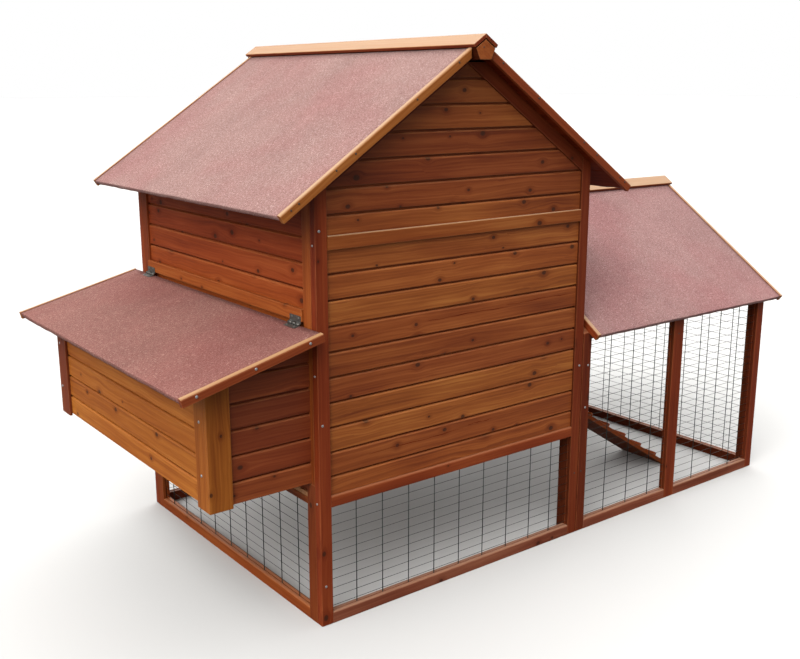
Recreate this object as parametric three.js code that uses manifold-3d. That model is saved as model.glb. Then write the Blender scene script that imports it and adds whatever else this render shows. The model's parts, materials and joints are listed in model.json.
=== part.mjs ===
// Wooden chicken coop: a raised gabled house with a nest box on its left wall
// and a mesh run on its right. Millimetres, +Z up. Modelled from the house's
// rear left bottom corner (x towards the run, y towards the front door wall)
// and then shifted so that the origin is the middle of the footprint.
import * as THREE from 'three';
import { mergeVertices } from 'three/addons/utils/BufferGeometryUtils.js';
import Module from 'manifold-3d';

const wasm = await Module();
wasm.setup();

// ---------------------------------------------------------------- dimensions
// X0/X1, Y0/Y1 and Z0/Z1 are the low and high limits of a part.
const GAP = 0.3;              // joint gap between neighbouring pieces
const OVERLAP = 1;            // how far joined pieces sink into each other

// house frame
const HOUSE_W = 900;          // across, post to post
const HOUSE_D = 968;          // rear wall face to front wall face
const FRAME_T = 22;           // thickness of every frame member
const POST_W = 33;            // visible width of a house post
const STILE_W = 34;           // side wall stile, seen beside the post
const SIDE_TOP_RAIL_H = 34;
const SIDE_TOP_CLEARANCE = 2; // side wall below the roof, beyond the joint gap
const RAFTER_H = 33;
const BOTTOM_RAIL_H = 30;
const FLOOR_RAIL_Z0 = 308;
const FLOOR_RAIL_Z1 = 337;
const DECK_T = 12;
const DECK_IN = 2;            // deck edge from the outer faces of the side walls
const FRONT_Y0 = HOUSE_D - FRAME_T;         // inner face of the front frame
const BETWEEN_Y0 = FRAME_T + GAP;           // clear depth between the end walls
const BETWEEN_Y1 = HOUSE_D - FRAME_T - GAP;

// cladding; joints run from the first height upward at the pitch, below last
const BOARD_T = 12;
const BOARD_IN = 6;           // cladding set back from the post faces
const SIDING_Z0 = FLOOR_RAIL_Z1 + GAP;
const GABLE_BLANK_Z1 = 1400;  // gable boards before they are trimmed to the rafters
const END_BOARDS = [{ first: 387, pitch: 61.65, last: 890 }, { first: 955.9, pitch: 60.3 }];
const SIDE_BOARDS = [{ first: 415, pitch: 61 }];
const NEST_END_BOARDS = [{ first: 424, pitch: 62 }];
const NEST_OUTER_BOARDS = [{ first: 425, pitch: 60.7 }];
const CHAMFER = { depth: 4, bottom: 7, top: 2 };   // bottom and top: distances below the joint
const BATTEN_Z0 = 935;        // waist batten, over the joint of the two rear panels
const BATTEN_Z1 = 967.5;
const BATTEN_PROUD = 2;

// house roof
const ROOF_TAN = 0.667;       // pitch, 33.7 degrees
const EAVE_X = -116;          // top edge of the roof at the left eave
const EAVE_Z = 1027;
const ROOF_T = 12;            // roof panel with its felt
const ROOF_Y0 = -46;          // outer faces of the edge trims
const ROOF_Y1 = 1014;
const TRIM_T = 12;
const TRIM_H = 21;
const TRIM_PROUD = 2;
const TRIM_BELOW = TRIM_H - TRIM_PROUD;
const TRIM_RIDGE_GAP = 0.4;   // extra gap between a trim and the ridge beam
const RIDGE_Y0 = -61;
const RIDGE_Y1 = 1029;
const RIDGE_X = HOUSE_W / 2;
const BEAM_HALF = 31;
const BEAM_BOTTOM_HALF = 18;
const BEAM_H = 47;
const BEAM_CLEARANCE = 4;     // between the beam and the rafters under it
const CAP_W = 39;
const CAP_T = 9;

// nest box and its lid
const NEST_X = -275;          // outer face of the nest box
const NEST_Y0 = 27;
const NEST_Y1 = 966;
const NEST_Z0 = 362;          // underside of the corner planks
const NEST_PLANK_W = 60;
const NEST_PLANK_T = 8;
const NEST_FLOOR_Z0 = 368;
const NEST_FLOOR_T = 12;
const NEST_LID_CLEARANCE = 0.6;
const NEST_HOLE = { count: 3, y0: 95, width: 250, pitch: 276, z0: 400, z1: 640 };
const PARTITION_T = 12;
const PARTITION_TOP_Z = 690;
const LID_X0 = -363;          // outer top edge of the lid
const LID_Z0 = 665.5;
const LID_X1 = -8;            // inner top edge of the lid
const LID_Z1 = 754;
const LID_Y0 = -41;
const LID_Y1 = 1008;
const LID_T = 12;
const LID_HINGE = {
  pinX: -11, pinZ: 757, radius: 3.2, knuckleHalf: 8, leafHalf: 24, leafX0: -46, leafX1: -9.5, leafT: 2,
};
const LID_HINGE_Y = { rear: 82, front: 888 };

// pop hole, its sliding door, perch and ramp
const POP_Y0 = 189;
const POP_Y1 = 379;
const POP_Z0 = 415;
const POP_Z1 = 690;
const POP_DOOR_T = 9;
const GUIDE_T = 15;           // depth of the door guides
const GUIDE_LIP_T = 3.5;
const GUIDE_Z1 = 985;
const PERCH = { y: 560, z: 700, halfW: 20, halfH: 14, radius: 6 };   // y, z: its middle line
const RAMP_TAN = 0.628;
const RAMP_GROUND_X = 1556;
const RAMP_Y0 = 192;
const RAMP_Y1 = 376;
const RAMP_T = 13;
const CLEAT = { count: 7, width: 12, height: 10, pitch: 100, first: 55, sideIn: 4 };

// doors
const DOOR_X0 = 250;
const DOOR_X1 = 650;
const DOOR_Z0 = 400;
const DOOR_Z1 = 900;
const DOOR_GAP = 2.5;         // clearance round both doors
const LEDGE = { endIn: 18, fromEdge: 50, height: 45, thick: 12 };
const HINGE = { radius: 3.5, length: 50, pinOut: 6, leafW: 28, leafT: 2 };
const BUTTON_T = 9;
const BUTTON_OUT = 1.5;       // gap behind the turn button

// run
const RUN_X0 = 903;
const RUN_X1 = 1790;
const RUN_MID_X0 = 1315;      // middle posts
const RUN_MID_X1 = 1362;
const RUN_RAIL_H = 30;
const RUN_TOP_RAIL_Z0 = 590;
const RUN_BLANK_Z1 = 700;     // side frames before they are trimmed to the roof
const RUN_END_STILE_W = 24;
const RUN_END_RAIL_Z0 = 588;
const RUN_END_RAIL_Z1 = 620;
const RUN_TAN = 0.68;
const RUN_EAVE_Y = -36;
const RUN_EAVE_Z = 608;
const RUN_ROOF_X0 = 922;
const RUN_ROOF_X1 = 1839;
const RUN_ROOF_T = 12;
const RUN_CAP_T = 9;
const RUN_CAP_W = 36;
const RUN_CAP_PROUD = 4;      // cap beyond the trims at each end
const RUN_DOOR_X0 = 1364;
const RUN_DOOR_X1 = 1755;
const RUN_DOOR_Z0 = 32;
const RUN_DOOR_Z1 = 566;
const RUN_DOOR_FRAME_W = 40;
const RUN_DOOR_IN = 2;        // door faces set in from the frame faces

// wire sheets
const WIRE = 2;
const MESH_IN = 10;           // outer face of the sheet, from the outer face of its frame
const GROOVE = 6;             // depth of the groove that holds the sheet's edge
const LOW_SHEET_SIDE = [MESH_IN, MESH_IN + WIRE];    // at the rear (y) and nest side (x)
const FRONT_SHEET_Y = [HOUSE_D - MESH_IN - WIRE, HOUSE_D - MESH_IN];
// wired opening below the floor in both end walls: x0, x1, z0, z1
const LOW_OPENING = [POST_W, HOUSE_W - POST_W, BOTTOM_RAIL_H, FLOOR_RAIL_Z0];

// ----------------------------------------------------------------- materials
const standard = (settings) => () => new THREE.MeshStandardMaterial(settings);
const mats = {
  wood: standard({ color: 0x8c4a25, roughness: 0.6, metalness: 0 }),
  woodWarm: standard({ color: 0xa85a28, roughness: 0.6, metalness: 0 }),
  trim: standard({ color: 0xb06a36, roughness: 0.6, metalness: 0 }),
  felt: standard({ color: 0xa87f7c, roughness: 0.95, metalness: 0 }),
  ply: standard({ color: 0x9a5f38, roughness: 0.7, metalness: 0 }),
  mesh: standard({ color: 0x1e231f, roughness: 0.5, metalness: 0.3 }),
  zinc: standard({ color: 0x8f8f8a, roughness: 0.4, metalness: 1 }),
};

// ----------------------------------------------------------- solid operations
function toSolid(geometry) {
  const bare = geometry.clone();
  for (const key of Object.keys(bare.attributes)) {
    if (key !== 'position') bare.deleteAttribute(key);
  }
  const merged = mergeVertices(bare, 1e-4);
  return new wasm.Manifold(new wasm.Mesh({
    numProp: 3,
    vertProperties: new Float32Array(merged.attributes.position.array),
    triVerts: new Uint32Array(merged.index.array),
  }));
}

function toGeometry(manifold) {
  const mesh = manifold.getMesh();
  const geometry = new THREE.BufferGeometry();
  const positions = new Float32Array(mesh.vertProperties);
  geometry.setAttribute('position', new THREE.BufferAttribute(positions, 3));
  geometry.setIndex(new THREE.BufferAttribute(new Uint32Array(mesh.triVerts), 1));
  geometry.computeVertexNormals();
  return geometry;
}

const join = (...parts) => toGeometry(parts.map(toSolid).reduce((a, b) => a.add(b)));
const cut = (body, ...tools) =>
  toGeometry(tools.map(toSolid).reduce((a, b) => a.subtract(b), toSolid(body)));
const common = (a, b) => toGeometry(toSolid(a).intersect(toSolid(b)));

// ------------------------------------------------------- outlines and plates
const rect = (a0, a1, b0, b1) => [[a0, b0], [a1, b0], [a1, b1], [a0, b1]];
const ascending = (a, b) => [Math.min(a, b), Math.max(a, b)];
// the outline seen from the other side of a house measuring size across
const mirror = (outline, size) => outline.map(([along, z]) => [size - along, z]);

function extrude(outline, depth) {
  const shape = new THREE.Shape(outline.map(([a, b]) => new THREE.Vector2(a, b)));
  return new THREE.ExtrudeGeometry(shape, { depth, bevelEnabled: false });
}

// an outline with openings: each opening is cut through the plate
function plate(outline, holes, depth) {
  const blank = extrude(outline, depth);
  if (!holes.length) return blank;
  return cut(blank, join(...holes.map((hole) => extrude(hole, depth + 2).translate(0, 0, -1))));
}

// geometries already in place, for joins and cuts
const YZ_TO_WORLD = new THREE.Matrix4().set(0, 0, 1, 0, 1, 0, 0, 0, 0, 1, 0, 0, 0, 0, 0, 1);
const geoBox = (x0, x1, y0, y1, z0, z1) => new THREE.BoxGeometry(x1 - x0, y1 - y0, z1 - z0)
  .translate((x0 + x1) / 2, (y0 + y1) / 2, (z0 + z1) / 2);
const geoXZ = (outline, y0, y1, holes = []) =>
  plate(outline, holes, y1 - y0).rotateX(Math.PI / 2).translate(0, y1, 0);
const geoYZ = (outline, x0, x1, holes = []) =>
  plate(outline, holes, x1 - x0).applyMatrix4(YZ_TO_WORLD).translate(x0, 0, 0);

// -------------------------------------------------------------- named meshes
const coop = new THREE.Group();

function group(name) {
  const part = new THREE.Group();
  part.name = name;
  coop.add(part);
  return part;
}

function put(parent, name, geometry, material) {
  const mesh = new THREE.Mesh(geometry, material());
  mesh.name = name;
  parent.add(mesh);
  return mesh;
}

// a box between two corners: the mesh sits at the box's centre
function box(parent, name, x0, x1, y0, y1, z0, z1, material) {
  const mesh = put(parent, name, new THREE.BoxGeometry(x1 - x0, y1 - y0, z1 - z0), material);
  mesh.position.set((x0 + x1) / 2, (y0 + y1) / 2, (z0 + z1) / 2);
}

// outline in (x, z), thick along y from y0 to y1
function wallXZ(parent, name, outline, y0, y1, material, holes = []) {
  const mesh = put(parent, name, plate(outline, holes, y1 - y0), material);
  mesh.rotation.x = Math.PI / 2;
  mesh.position.y = y1;
  return mesh;
}

// outline in (y, z), thick along x from x0 to x1
function wallYZ(parent, name, outline, x0, x1, material, holes = []) {
  const mesh = put(parent, name, plate(outline, holes, x1 - x0), material);
  mesh.setRotationFromMatrix(YZ_TO_WORLD);
  mesh.position.x = x0;
  return mesh;
}

// --------------------------------------------------------------- wire sheets
// the openings of a welded lattice with bars of width WIRE, as [a0, a1, b0, b1]
function latticeCells(a0, a1, b0, b1, countA, countB) {
  const cells = [];
  const pitchA = (a1 - a0 - WIRE) / countA;
  const pitchB = (b1 - b0 - WIRE) / countB;
  for (let i = 0; i < countA; i++) {
    for (let j = 0; j < countB; j++) {
      cells.push([
        a0 + WIRE + i * pitchA, a0 + (i + 1) * pitchA,
        b0 + WIRE + j * pitchB, b0 + (j + 1) * pitchB,
      ]);
    }
  }
  return cells;
}
const toHoles = (cells) => cells.map((cell) => rect(...cell));

// limits grown by a margin on all sides
const grown = ([a0, a1, b0, b1], by) => [a0 - by, a1 + by, b0 - by, b1 + by];

// a sheet filling an opening, its edges in the grooves; wall is wallXZ or wallYZ
function wireSheet(wall, parent, name, opening, [face0, face1], countA, countB) {
  const limits = grown(opening, GROOVE - GAP);
  const holes = toHoles(latticeCells(...limits, countA, countB));
  wall(parent, name, rect(...limits), face0, face1, mats.mesh, holes);
}

// the slot that holds such a sheet; geo is geoXZ or geoYZ
const sheetSlot = (geo, opening, [face0, face1]) =>
  geo(rect(...grown(opening, GROOVE)), face0 - GAP, face1 + GAP);

// ------------------------------------------------------------------ cladding
// profile in (depth, z): each board has a chamfered top edge tucked under the
// board above it; out is the sign of the outward direction
function boardProfile(face, out, z0, z1, panels) {
  const back = face - out * BOARD_T;
  const sunk = face - out * CHAMFER.depth;
  const profile = [[back, z0], [face, z0]];
  for (const { first, pitch, last = Infinity } of panels) {
    for (let z = first; z < Math.min(z1 - 0.5, last); z += pitch) {
      if (z <= z0 + CHAMFER.bottom) continue;
      profile.push([face, z - CHAMFER.bottom], [sunk, z - CHAMFER.top], [sunk, z], [face, z]);
    }
  }
  profile.push([face, z1], [back, z1]);
  return profile;
}

// -------------------------------------------------------------------- slopes
// The top face of a sloping part in section. Heights rise from (start, startZ);
// a gable of the given width falls again past its middle. off is a distance
// square to the slope, positive outward.
function makeSlope(tan, start, startZ, width = Infinity) {
  const cos = 1 / Math.hypot(1, tan);
  const top = (along) => startZ + tan * (Math.min(along, width - along) - start);
  return {
    cos,
    width,
    top,
    lift: (along, off) => top(along) + off / cos,            // height on a plumb line
    square: (along, off) => [along - tan * cos * off, top(along) + cos * off],
  };
}
const roofSlope = makeSlope(ROOF_TAN, EAVE_X, EAVE_Z, HOUSE_W);
const runSlope = makeSlope(RUN_TAN, RUN_EAVE_Y, RUN_EAVE_Z, HOUSE_D);
const lidSlope = makeSlope((LID_Z1 - LID_Z0) / (LID_X1 - LID_X0), LID_X0, LID_Z0);
const rampSlope = makeSlope(-RAMP_TAN, RAMP_GROUND_X, 0);    // underside of the ramp

// a strip along a slope with both ends square to it
const squareStrip = (slope, from, to, low, high) =>
  [slope.square(from, high), slope.square(from, low), slope.square(to, low), slope.square(to, high)];

// a strip with a square end at the eave and a plumb end near the ridge
const eaveStrip = (slope, eave, ridge, low, high) => [
  slope.square(eave, high), slope.square(eave, low),
  [ridge, slope.lift(ridge, low)], [ridge, slope.lift(ridge, high)],
];

// an inverted V over both sides of a gable
function chevron(slope, from, low, high) {
  const mid = slope.width / 2;
  const lowEnd = slope.square(from, low);
  const highEnd = slope.square(from, high);
  return [
    lowEnd, [mid, slope.lift(mid, low)], ...mirror([lowEnd, highEnd], slope.width),
    [mid, slope.lift(mid, high)], highEnd,
  ];
}

// two boards nailed into one angle, laid over the trims
function capOutline(slope, width, thick) {
  const low = TRIM_PROUD + GAP;
  return chevron(slope, slope.width / 2 - width * slope.cos, low, low + thick);
}

const frameTop = (x) => roofSlope.lift(x, -ROOF_T) - GAP;
const rafterUnder = (x) => roofSlope.lift(x, -ROOF_T - RAFTER_H);
const runFrameTop = (y) => runSlope.lift(y, -RUN_ROOF_T) - GAP;
const runRafterUnder = (y) => runFrameTop(y) - RAFTER_H / runSlope.cos;
const nestTop = (x) => lidSlope.lift(x, -LID_T) - NEST_LID_CLEARANCE;

// ------------------------------------------------------------- door hardware
// hinge on a front door: barrel, leaf on the door face and the web between them
function doorHinge(parent, name, pinX, face, z) {
  const pinY = face + HINGE.pinOut;
  const z0 = z - HINGE.length / 2;
  const z1 = z + HINGE.length / 2;
  const leafY = face + GAP;
  const barrel = new THREE.CylinderGeometry(HINGE.radius, HINGE.radius, HINGE.length, 16)
    .rotateX(Math.PI / 2)
    .translate(pinX, pinY, z);
  const leaf = geoBox(pinX + 1, pinX + HINGE.leafW, leafY, leafY + HINGE.leafT, z0, z1);
  const web = geoBox(pinX - 1, pinX + 6, leafY + 0.2, pinY, z0, z1);
  put(parent, name, join(barrel, leaf, web), mats.zinc);
}

// upright turn button in front of a face
function turnButton(parent, name, x, face, z) {
  const outline = [[-9, -30], [9, -30], [11, 0], [9, 30], [-9, 30], [-11, 0]];
  const back = face + BUTTON_OUT;
  const mesh = wallXZ(parent, name, outline, back, back + BUTTON_T, mats.trim);
  mesh.position.x = x;
  mesh.position.z = z;
}

// ----------------------------------------------------------------- end walls
const LEFT_POST = [[0, 0], [POST_W, 0], [POST_W, frameTop(POST_W)], [0, frameTop(0)]];
const RIGHT_POST = mirror(LEFT_POST, HOUSE_W);

// the two gable rafters meet under the ridge beam; edge is their left end
function rafterOutline(edge) {
  const flatZ = roofSlope.top(RIDGE_X) - BEAM_H - BEAM_CLEARANCE;
  const flatX = edge + (flatZ - frameTop(edge)) / ROOF_TAN;
  const leftHalf = [[edge, rafterUnder(edge)], [edge, frameTop(edge)], [flatX, flatZ]];
  return [
    ...leftHalf, ...mirror(leftHalf, HOUSE_W).reverse(), [RIDGE_X, rafterUnder(RIDGE_X)],
  ];
}

// cladding of an end wall, trimmed to the rafters
function endSiding(face, out) {
  const x0 = POST_W + GAP;
  const x1 = HOUSE_W - x0;
  const sideZ = rafterUnder(x0) - GAP;
  const profile = boardProfile(face, out, SIDING_Z0, GABLE_BLANK_Z1, END_BOARDS);
  const outline = [
    [x0, SIDING_Z0], [x1, SIDING_Z0], [x1, sideZ], [RIDGE_X, rafterUnder(RIDGE_X) - GAP], [x0, sideZ],
  ];
  return common(geoYZ(profile, POST_W, HOUSE_W - POST_W), geoXZ(outline, face - 30, face + 30));
}

function buildRearWall() {
  const rear = group('rear_wall');
  const x0 = POST_W + GAP;
  const x1 = HOUSE_W - x0;
  const slot = sheetSlot(geoXZ, LOW_OPENING, LOW_SHEET_SIDE);
  const slotted = (name, geometry) => put(rear, name, cut(geometry, slot), mats.wood);
  slotted('rear_post_left', geoXZ(LEFT_POST, 0, FRAME_T));
  slotted('rear_post_right', geoXZ(RIGHT_POST, 0, FRAME_T));
  slotted('rear_bottom_rail', geoBox(x0, x1, 0, FRAME_T, 0, BOTTOM_RAIL_H));
  slotted('rear_floor_rail', geoBox(x0, x1, 0, FRAME_T, FLOOR_RAIL_Z0, FLOOR_RAIL_Z1));
  wallXZ(rear, 'rear_rafters', rafterOutline(x0), 0, FRAME_T, mats.wood);
  put(rear, 'rear_siding', endSiding(BOARD_IN, -1), mats.wood);
  box(rear, 'rear_waist_batten', x0, x1, -BATTEN_PROUD, BOARD_IN - GAP, BATTEN_Z0, BATTEN_Z1,
    mats.wood);
  wireSheet(wallXZ, rear, 'rear_lower_mesh', LOW_OPENING, LOW_SHEET_SIDE, 9, 4);
}

// posts, bottom rail, floor rail and rafters, one nailed frame
function frontFrame() {
  const x0 = POST_W - OVERLAP;
  const x1 = HOUSE_W - x0;
  const frame = join(
    geoXZ(LEFT_POST, FRONT_Y0, HOUSE_D),
    geoXZ(RIGHT_POST, FRONT_Y0, HOUSE_D),
    geoBox(x0, x1, FRONT_Y0, HOUSE_D, 0, BOTTOM_RAIL_H),
    geoBox(x0, x1, FRONT_Y0, HOUSE_D, FLOOR_RAIL_Z0, FLOOR_RAIL_Z1),
    geoXZ(rafterOutline(x0), FRONT_Y0, HOUSE_D),
  );
  return cut(frame, sheetSlot(geoXZ, LOW_OPENING, FRONT_SHEET_Y));
}

// ledged door: boards with two ledges on the inside
function houseDoor(face) {
  const z0 = DOOR_Z0 + DOOR_GAP;
  const z1 = DOOR_Z1 - DOOR_GAP;
  const back = face - BOARD_T;
  const profile = boardProfile(face, 1, z0, z1, END_BOARDS.slice(0, 1));
  const ledge = (z) => geoBox(DOOR_X0 + LEDGE.endIn, DOOR_X1 - LEDGE.endIn,
    back - LEDGE.thick, back + OVERLAP, z, z + LEDGE.height);
  return join(
    geoYZ(profile, DOOR_X0 + DOOR_GAP, DOOR_X1 - DOOR_GAP),
    ledge(DOOR_Z0 + LEDGE.fromEdge),
    ledge(DOOR_Z1 - LEDGE.fromEdge - LEDGE.height),
  );
}

function buildFrontWall() {
  const front = group('front_wall');
  const face = HOUSE_D - BOARD_IN;
  const doorway = geoBox(DOOR_X0, DOOR_X1, face - 30, face + 30, DOOR_Z0, DOOR_Z1);
  const pinX = DOOR_X0 + DOOR_GAP / 2;
  put(front, 'front_frame', frontFrame(), mats.wood);
  put(front, 'front_siding', cut(endSiding(face, 1), doorway), mats.wood);
  wireSheet(wallXZ, front, 'front_lower_mesh', LOW_OPENING, FRONT_SHEET_Y, 9, 4);
  put(front, 'house_door', houseDoor(face), mats.woodWarm);
  doorHinge(front, 'house_door_hinge_lower', pinX, face, DOOR_Z0 + 75);
  doorHinge(front, 'house_door_hinge_upper', pinX, face, DOOR_Z1 - 75);
  turnButton(front, 'house_door_button', DOOR_X1 + 16, face, 660);
}

// ---------------------------------------------------------------- side walls
const SIDE_TOP_Z = frameTop(0) - SIDE_TOP_CLEARANCE;
const SIDE_RAIL_Z0 = SIDE_TOP_Z - SIDE_TOP_RAIL_H;   // underside of the top rail
const SIDE_OPEN_Y0 = BETWEEN_Y0 + STILE_W;
const SIDE_OPEN_Y1 = BETWEEN_Y1 - STILE_W;
const SIDE_OUTLINE = rect(BETWEEN_Y0, BETWEEN_Y1, 0, SIDE_TOP_Z);
const SIDE_UPPER_HOLE = rect(SIDE_OPEN_Y0, SIDE_OPEN_Y1, FLOOR_RAIL_Z1 - DECK_T - GAP, SIDE_RAIL_Z0);

const sideSiding = (face, out) => geoXZ(
  boardProfile(face, out, SIDING_Z0, SIDE_RAIL_Z0 - GAP, SIDE_BOARDS),
  SIDE_OPEN_Y0 + GAP, SIDE_OPEN_Y1 - GAP,
);

// left wall, nest side
function buildNestWall() {
  const left = group('nest_side_wall');
  const lower = [SIDE_OPEN_Y0, SIDE_OPEN_Y1, BOTTOM_RAIL_H, FLOOR_RAIL_Z0];
  const frame = geoYZ(SIDE_OUTLINE, 0, FRAME_T, [rect(...lower), SIDE_UPPER_HOLE]);
  const slot = sheetSlot(geoYZ, lower, LOW_SHEET_SIDE);
  put(left, 'nest_wall_frame', cut(frame, slot), mats.woodWarm);

  const nestHoles = [];
  for (let i = 0; i < NEST_HOLE.count; i++) {
    const y = NEST_HOLE.y0 + i * NEST_HOLE.pitch;
    nestHoles.push(geoBox(-20, 40, y, y + NEST_HOLE.width, NEST_HOLE.z0, NEST_HOLE.z1));
  }
  put(left, 'nest_wall_siding', cut(sideSiding(BOARD_IN, -1), ...nestHoles), mats.woodWarm);
  box(left, 'nest_hinge_rail', -5.7, BOARD_IN - GAP, SIDE_OPEN_Y0 + GAP, SIDE_OPEN_Y1 - GAP,
    762, 793, mats.woodWarm);
  wireSheet(wallYZ, left, 'nest_wall_mesh', lower, LOW_SHEET_SIDE, 9, 4);
}

// boards with the pop hole and two grooved guides for its door, on the inside
function runWallSiding(inner) {
  const siding = sideSiding(HOUSE_W - BOARD_IN, 1);
  const popHole = geoBox(HOUSE_W - 60, HOUSE_W + 60, POP_Y0, POP_Y1, POP_Z0, POP_Z1);
  const guideX0 = inner - GUIDE_T;
  const guidePart = (x1, ya, yb) =>
    geoBox(guideX0, x1, ...ascending(ya, yb), POP_Z0 - 16, GUIDE_Z1);
  const guides = [[POP_Y0, -1], [POP_Y1, 1]].flatMap(([edge, away]) => [
    guidePart(inner + OVERLAP, edge + away * 20, edge + away * 41),
    guidePart(guideX0 + GUIDE_LIP_T, edge + away * 10, edge + away * 21),
  ]);
  return join(cut(siding, popHole), ...guides);
}

// sliding door with its pull, raised: the hole is free
function popDoor(inner) {
  const x1 = inner - 1;
  const x0 = x1 - POP_DOOR_T;
  const z0 = POP_Z1 + 2;
  const height = POP_Z1 - POP_Z0 + 10;
  const midY = (POP_Y0 + POP_Y1) / 2;
  return join(
    geoBox(x0, x1, POP_Y0 - 18, POP_Y1 + 18, z0, z0 + height),
    geoBox(x0 - 14, x0 + OVERLAP, midY - 45, midY + 45, POP_Z1 + 30, POP_Z1 + 50),
  );
}

// right wall, run side
function buildRunWall() {
  const right = group('run_side_wall');
  const inner = HOUSE_W - BOARD_IN - BOARD_T;      // inner face of the boards
  // open to the ground: the birds walk through
  const lowerHole = rect(SIDE_OPEN_Y0, SIDE_OPEN_Y1, -1, FLOOR_RAIL_Z0);
  wallYZ(right, 'run_wall_frame', SIDE_OUTLINE, HOUSE_W - FRAME_T, HOUSE_W, mats.wood,
    [lowerHole, SIDE_UPPER_HOLE]);
  put(right, 'run_wall_siding', runWallSiding(inner), mats.wood);
  put(right, 'pop_door', popDoor(inner), mats.ply);
}

// ----------------------------------------------------------- floor and perch
// deck notched at its corners round the side wall stiles
function addDeck(inside) {
  const notch = STILE_W + 2 * GAP;
  const narrowX = FRAME_T + GAP;
  const leftSide = [
    [narrowX, BETWEEN_Y1], [narrowX, BETWEEN_Y1 - notch], [DECK_IN, BETWEEN_Y1 - notch],
    [DECK_IN, BETWEEN_Y0 + notch], [narrowX, BETWEEN_Y0 + notch], [narrowX, BETWEEN_Y0],
  ];
  const outline = [...leftSide, ...mirror(leftSide, HOUSE_W).reverse()];
  const deck = put(inside, 'floor_deck', extrude(outline, DECK_T), mats.ply);
  deck.position.z = FLOOR_RAIL_Z1 - DECK_T;
}

// bar with rounded edges, from one side wall to the other, above the nest
// openings and clear of the keeper's door and the pop door guides
function addPerch(inside) {
  const { radius } = PERCH;
  const cornerY = PERCH.halfW - radius;
  const cornerZ = PERCH.halfH - radius;
  // centre y, centre z and start angle of each rounded corner
  const corners = [
    [cornerY, cornerZ, 0], [-cornerY, cornerZ, 90], [-cornerY, -cornerZ, 180], [cornerY, -cornerZ, 270],
  ];
  const profile = [];
  for (const [y, z, start] of corners) {
    for (let step = 0; step <= 2; step++) {
      const angle = (start + 45 * step) * Math.PI / 180;
      profile.push([y + radius * Math.cos(angle), z + radius * Math.sin(angle)]);
    }
  }
  const x0 = BOARD_IN + BOARD_T + GAP;
  const perch = wallYZ(inside, 'perch_bar', profile, x0, HOUSE_W - x0, mats.ply);
  perch.position.y = PERCH.y;
  perch.position.z = PERCH.z;
}

function buildInside() {
  const inside = group('inside');
  addDeck(inside);
  addPerch(inside);
}

// ---------------------------------------------------------------- house roof
function buildRoof() {
  const roof = group('house_roof');
  const beamX = RIDGE_X - BEAM_HALF - GAP;
  const y0 = ROOF_Y0 + TRIM_T + GAP;
  const y1 = ROOF_Y1 - TRIM_T - GAP;
  const panel = eaveStrip(roofSlope, EAVE_X, beamX, -ROOF_T, 0);
  wallXZ(roof, 'roof_panel_left', panel, y0, y1, mats.felt);
  wallXZ(roof, 'roof_panel_right', mirror(panel, HOUSE_W), y0, y1, mats.felt);

  // the trims stop short of the ridge beam
  const trim = eaveStrip(roofSlope, EAVE_X, beamX - TRIM_RIDGE_GAP, -TRIM_BELOW, TRIM_PROUD);
  for (const [end, y] of [['rear', ROOF_Y0], ['front', ROOF_Y1 - TRIM_T]]) {
    wallXZ(roof, `roof_trim_${end}_left`, trim, y, y + TRIM_T, mats.trim);
    wallXZ(roof, `roof_trim_${end}_right`, mirror(trim, HOUSE_W), y, y + TRIM_T, mats.trim);
  }

  // five-sided ridge beam
  const peakZ = roofSlope.top(RIDGE_X);
  const beam = [
    [RIDGE_X, peakZ],
    [RIDGE_X - BEAM_HALF, peakZ - ROOF_TAN * BEAM_HALF],
    [RIDGE_X - BEAM_BOTTOM_HALF, peakZ - BEAM_H],
    [RIDGE_X + BEAM_BOTTOM_HALF, peakZ - BEAM_H],
    [RIDGE_X + BEAM_HALF, peakZ - ROOF_TAN * BEAM_HALF],
  ];
  wallXZ(roof, 'ridge_beam', beam, RIDGE_Y0 + 1, RIDGE_Y1 - 1, mats.trim);
  wallXZ(roof, 'ridge_cap', capOutline(roofSlope, CAP_W, CAP_T), RIDGE_Y0, RIDGE_Y1, mats.trim);
}

// ------------------------------------------------------------------ nest box
const NEST_BOARD_X0 = NEST_X + NEST_PLANK_T + GAP;   // outer face of the outer boards
const NEST_BOARD_X1 = NEST_BOARD_X0 + BOARD_T;       // their inner face
const NEST_END_IN = NEST_PLANK_T + GAP;              // end boards inside the corner planks
const NEST_INNER_Y0 = NEST_Y0 + NEST_END_IN + BOARD_T + GAP;
const NEST_INNER_Y1 = NEST_Y1 - NEST_END_IN - BOARD_T - GAP;

// upright outline in (x, z) with its top following the lid
const underLid = (x0, x1, z0) => [[x0, z0], [x1, z0], [x1, nestTop(x1)], [x0, nestTop(x0)]];

// boards from the outer panel to the house wall; inward is the sign along y
function addNestEnd(nest, name, face, inward) {
  const profile = boardProfile(face, -inward, NEST_FLOOR_Z0, 760, NEST_END_BOARDS);
  const outline = underLid(NEST_BOARD_X0, -GAP, NEST_FLOOR_Z0 - 1);
  const boards = geoYZ(profile, NEST_BOARD_X0, -GAP);
  put(nest, name, common(boards, geoXZ(outline, face - 30, face + 30)), mats.woodWarm);
}

function addNestOuterPanel(nest) {
  const profile = boardProfile(NEST_BOARD_X0, -1, NEST_FLOOR_Z0, 700, NEST_OUTER_BOARDS);
  const outline = underLid(NEST_BOARD_X0, NEST_BOARD_X1, NEST_FLOOR_Z0 - 1);
  const boards = geoXZ(profile, NEST_INNER_Y0, NEST_INNER_Y1);
  const trimmed = common(boards, geoXZ(outline, NEST_INNER_Y0, NEST_INNER_Y1));
  put(nest, 'nest_outer_panel', trimmed, mats.woodWarm);
}

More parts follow.
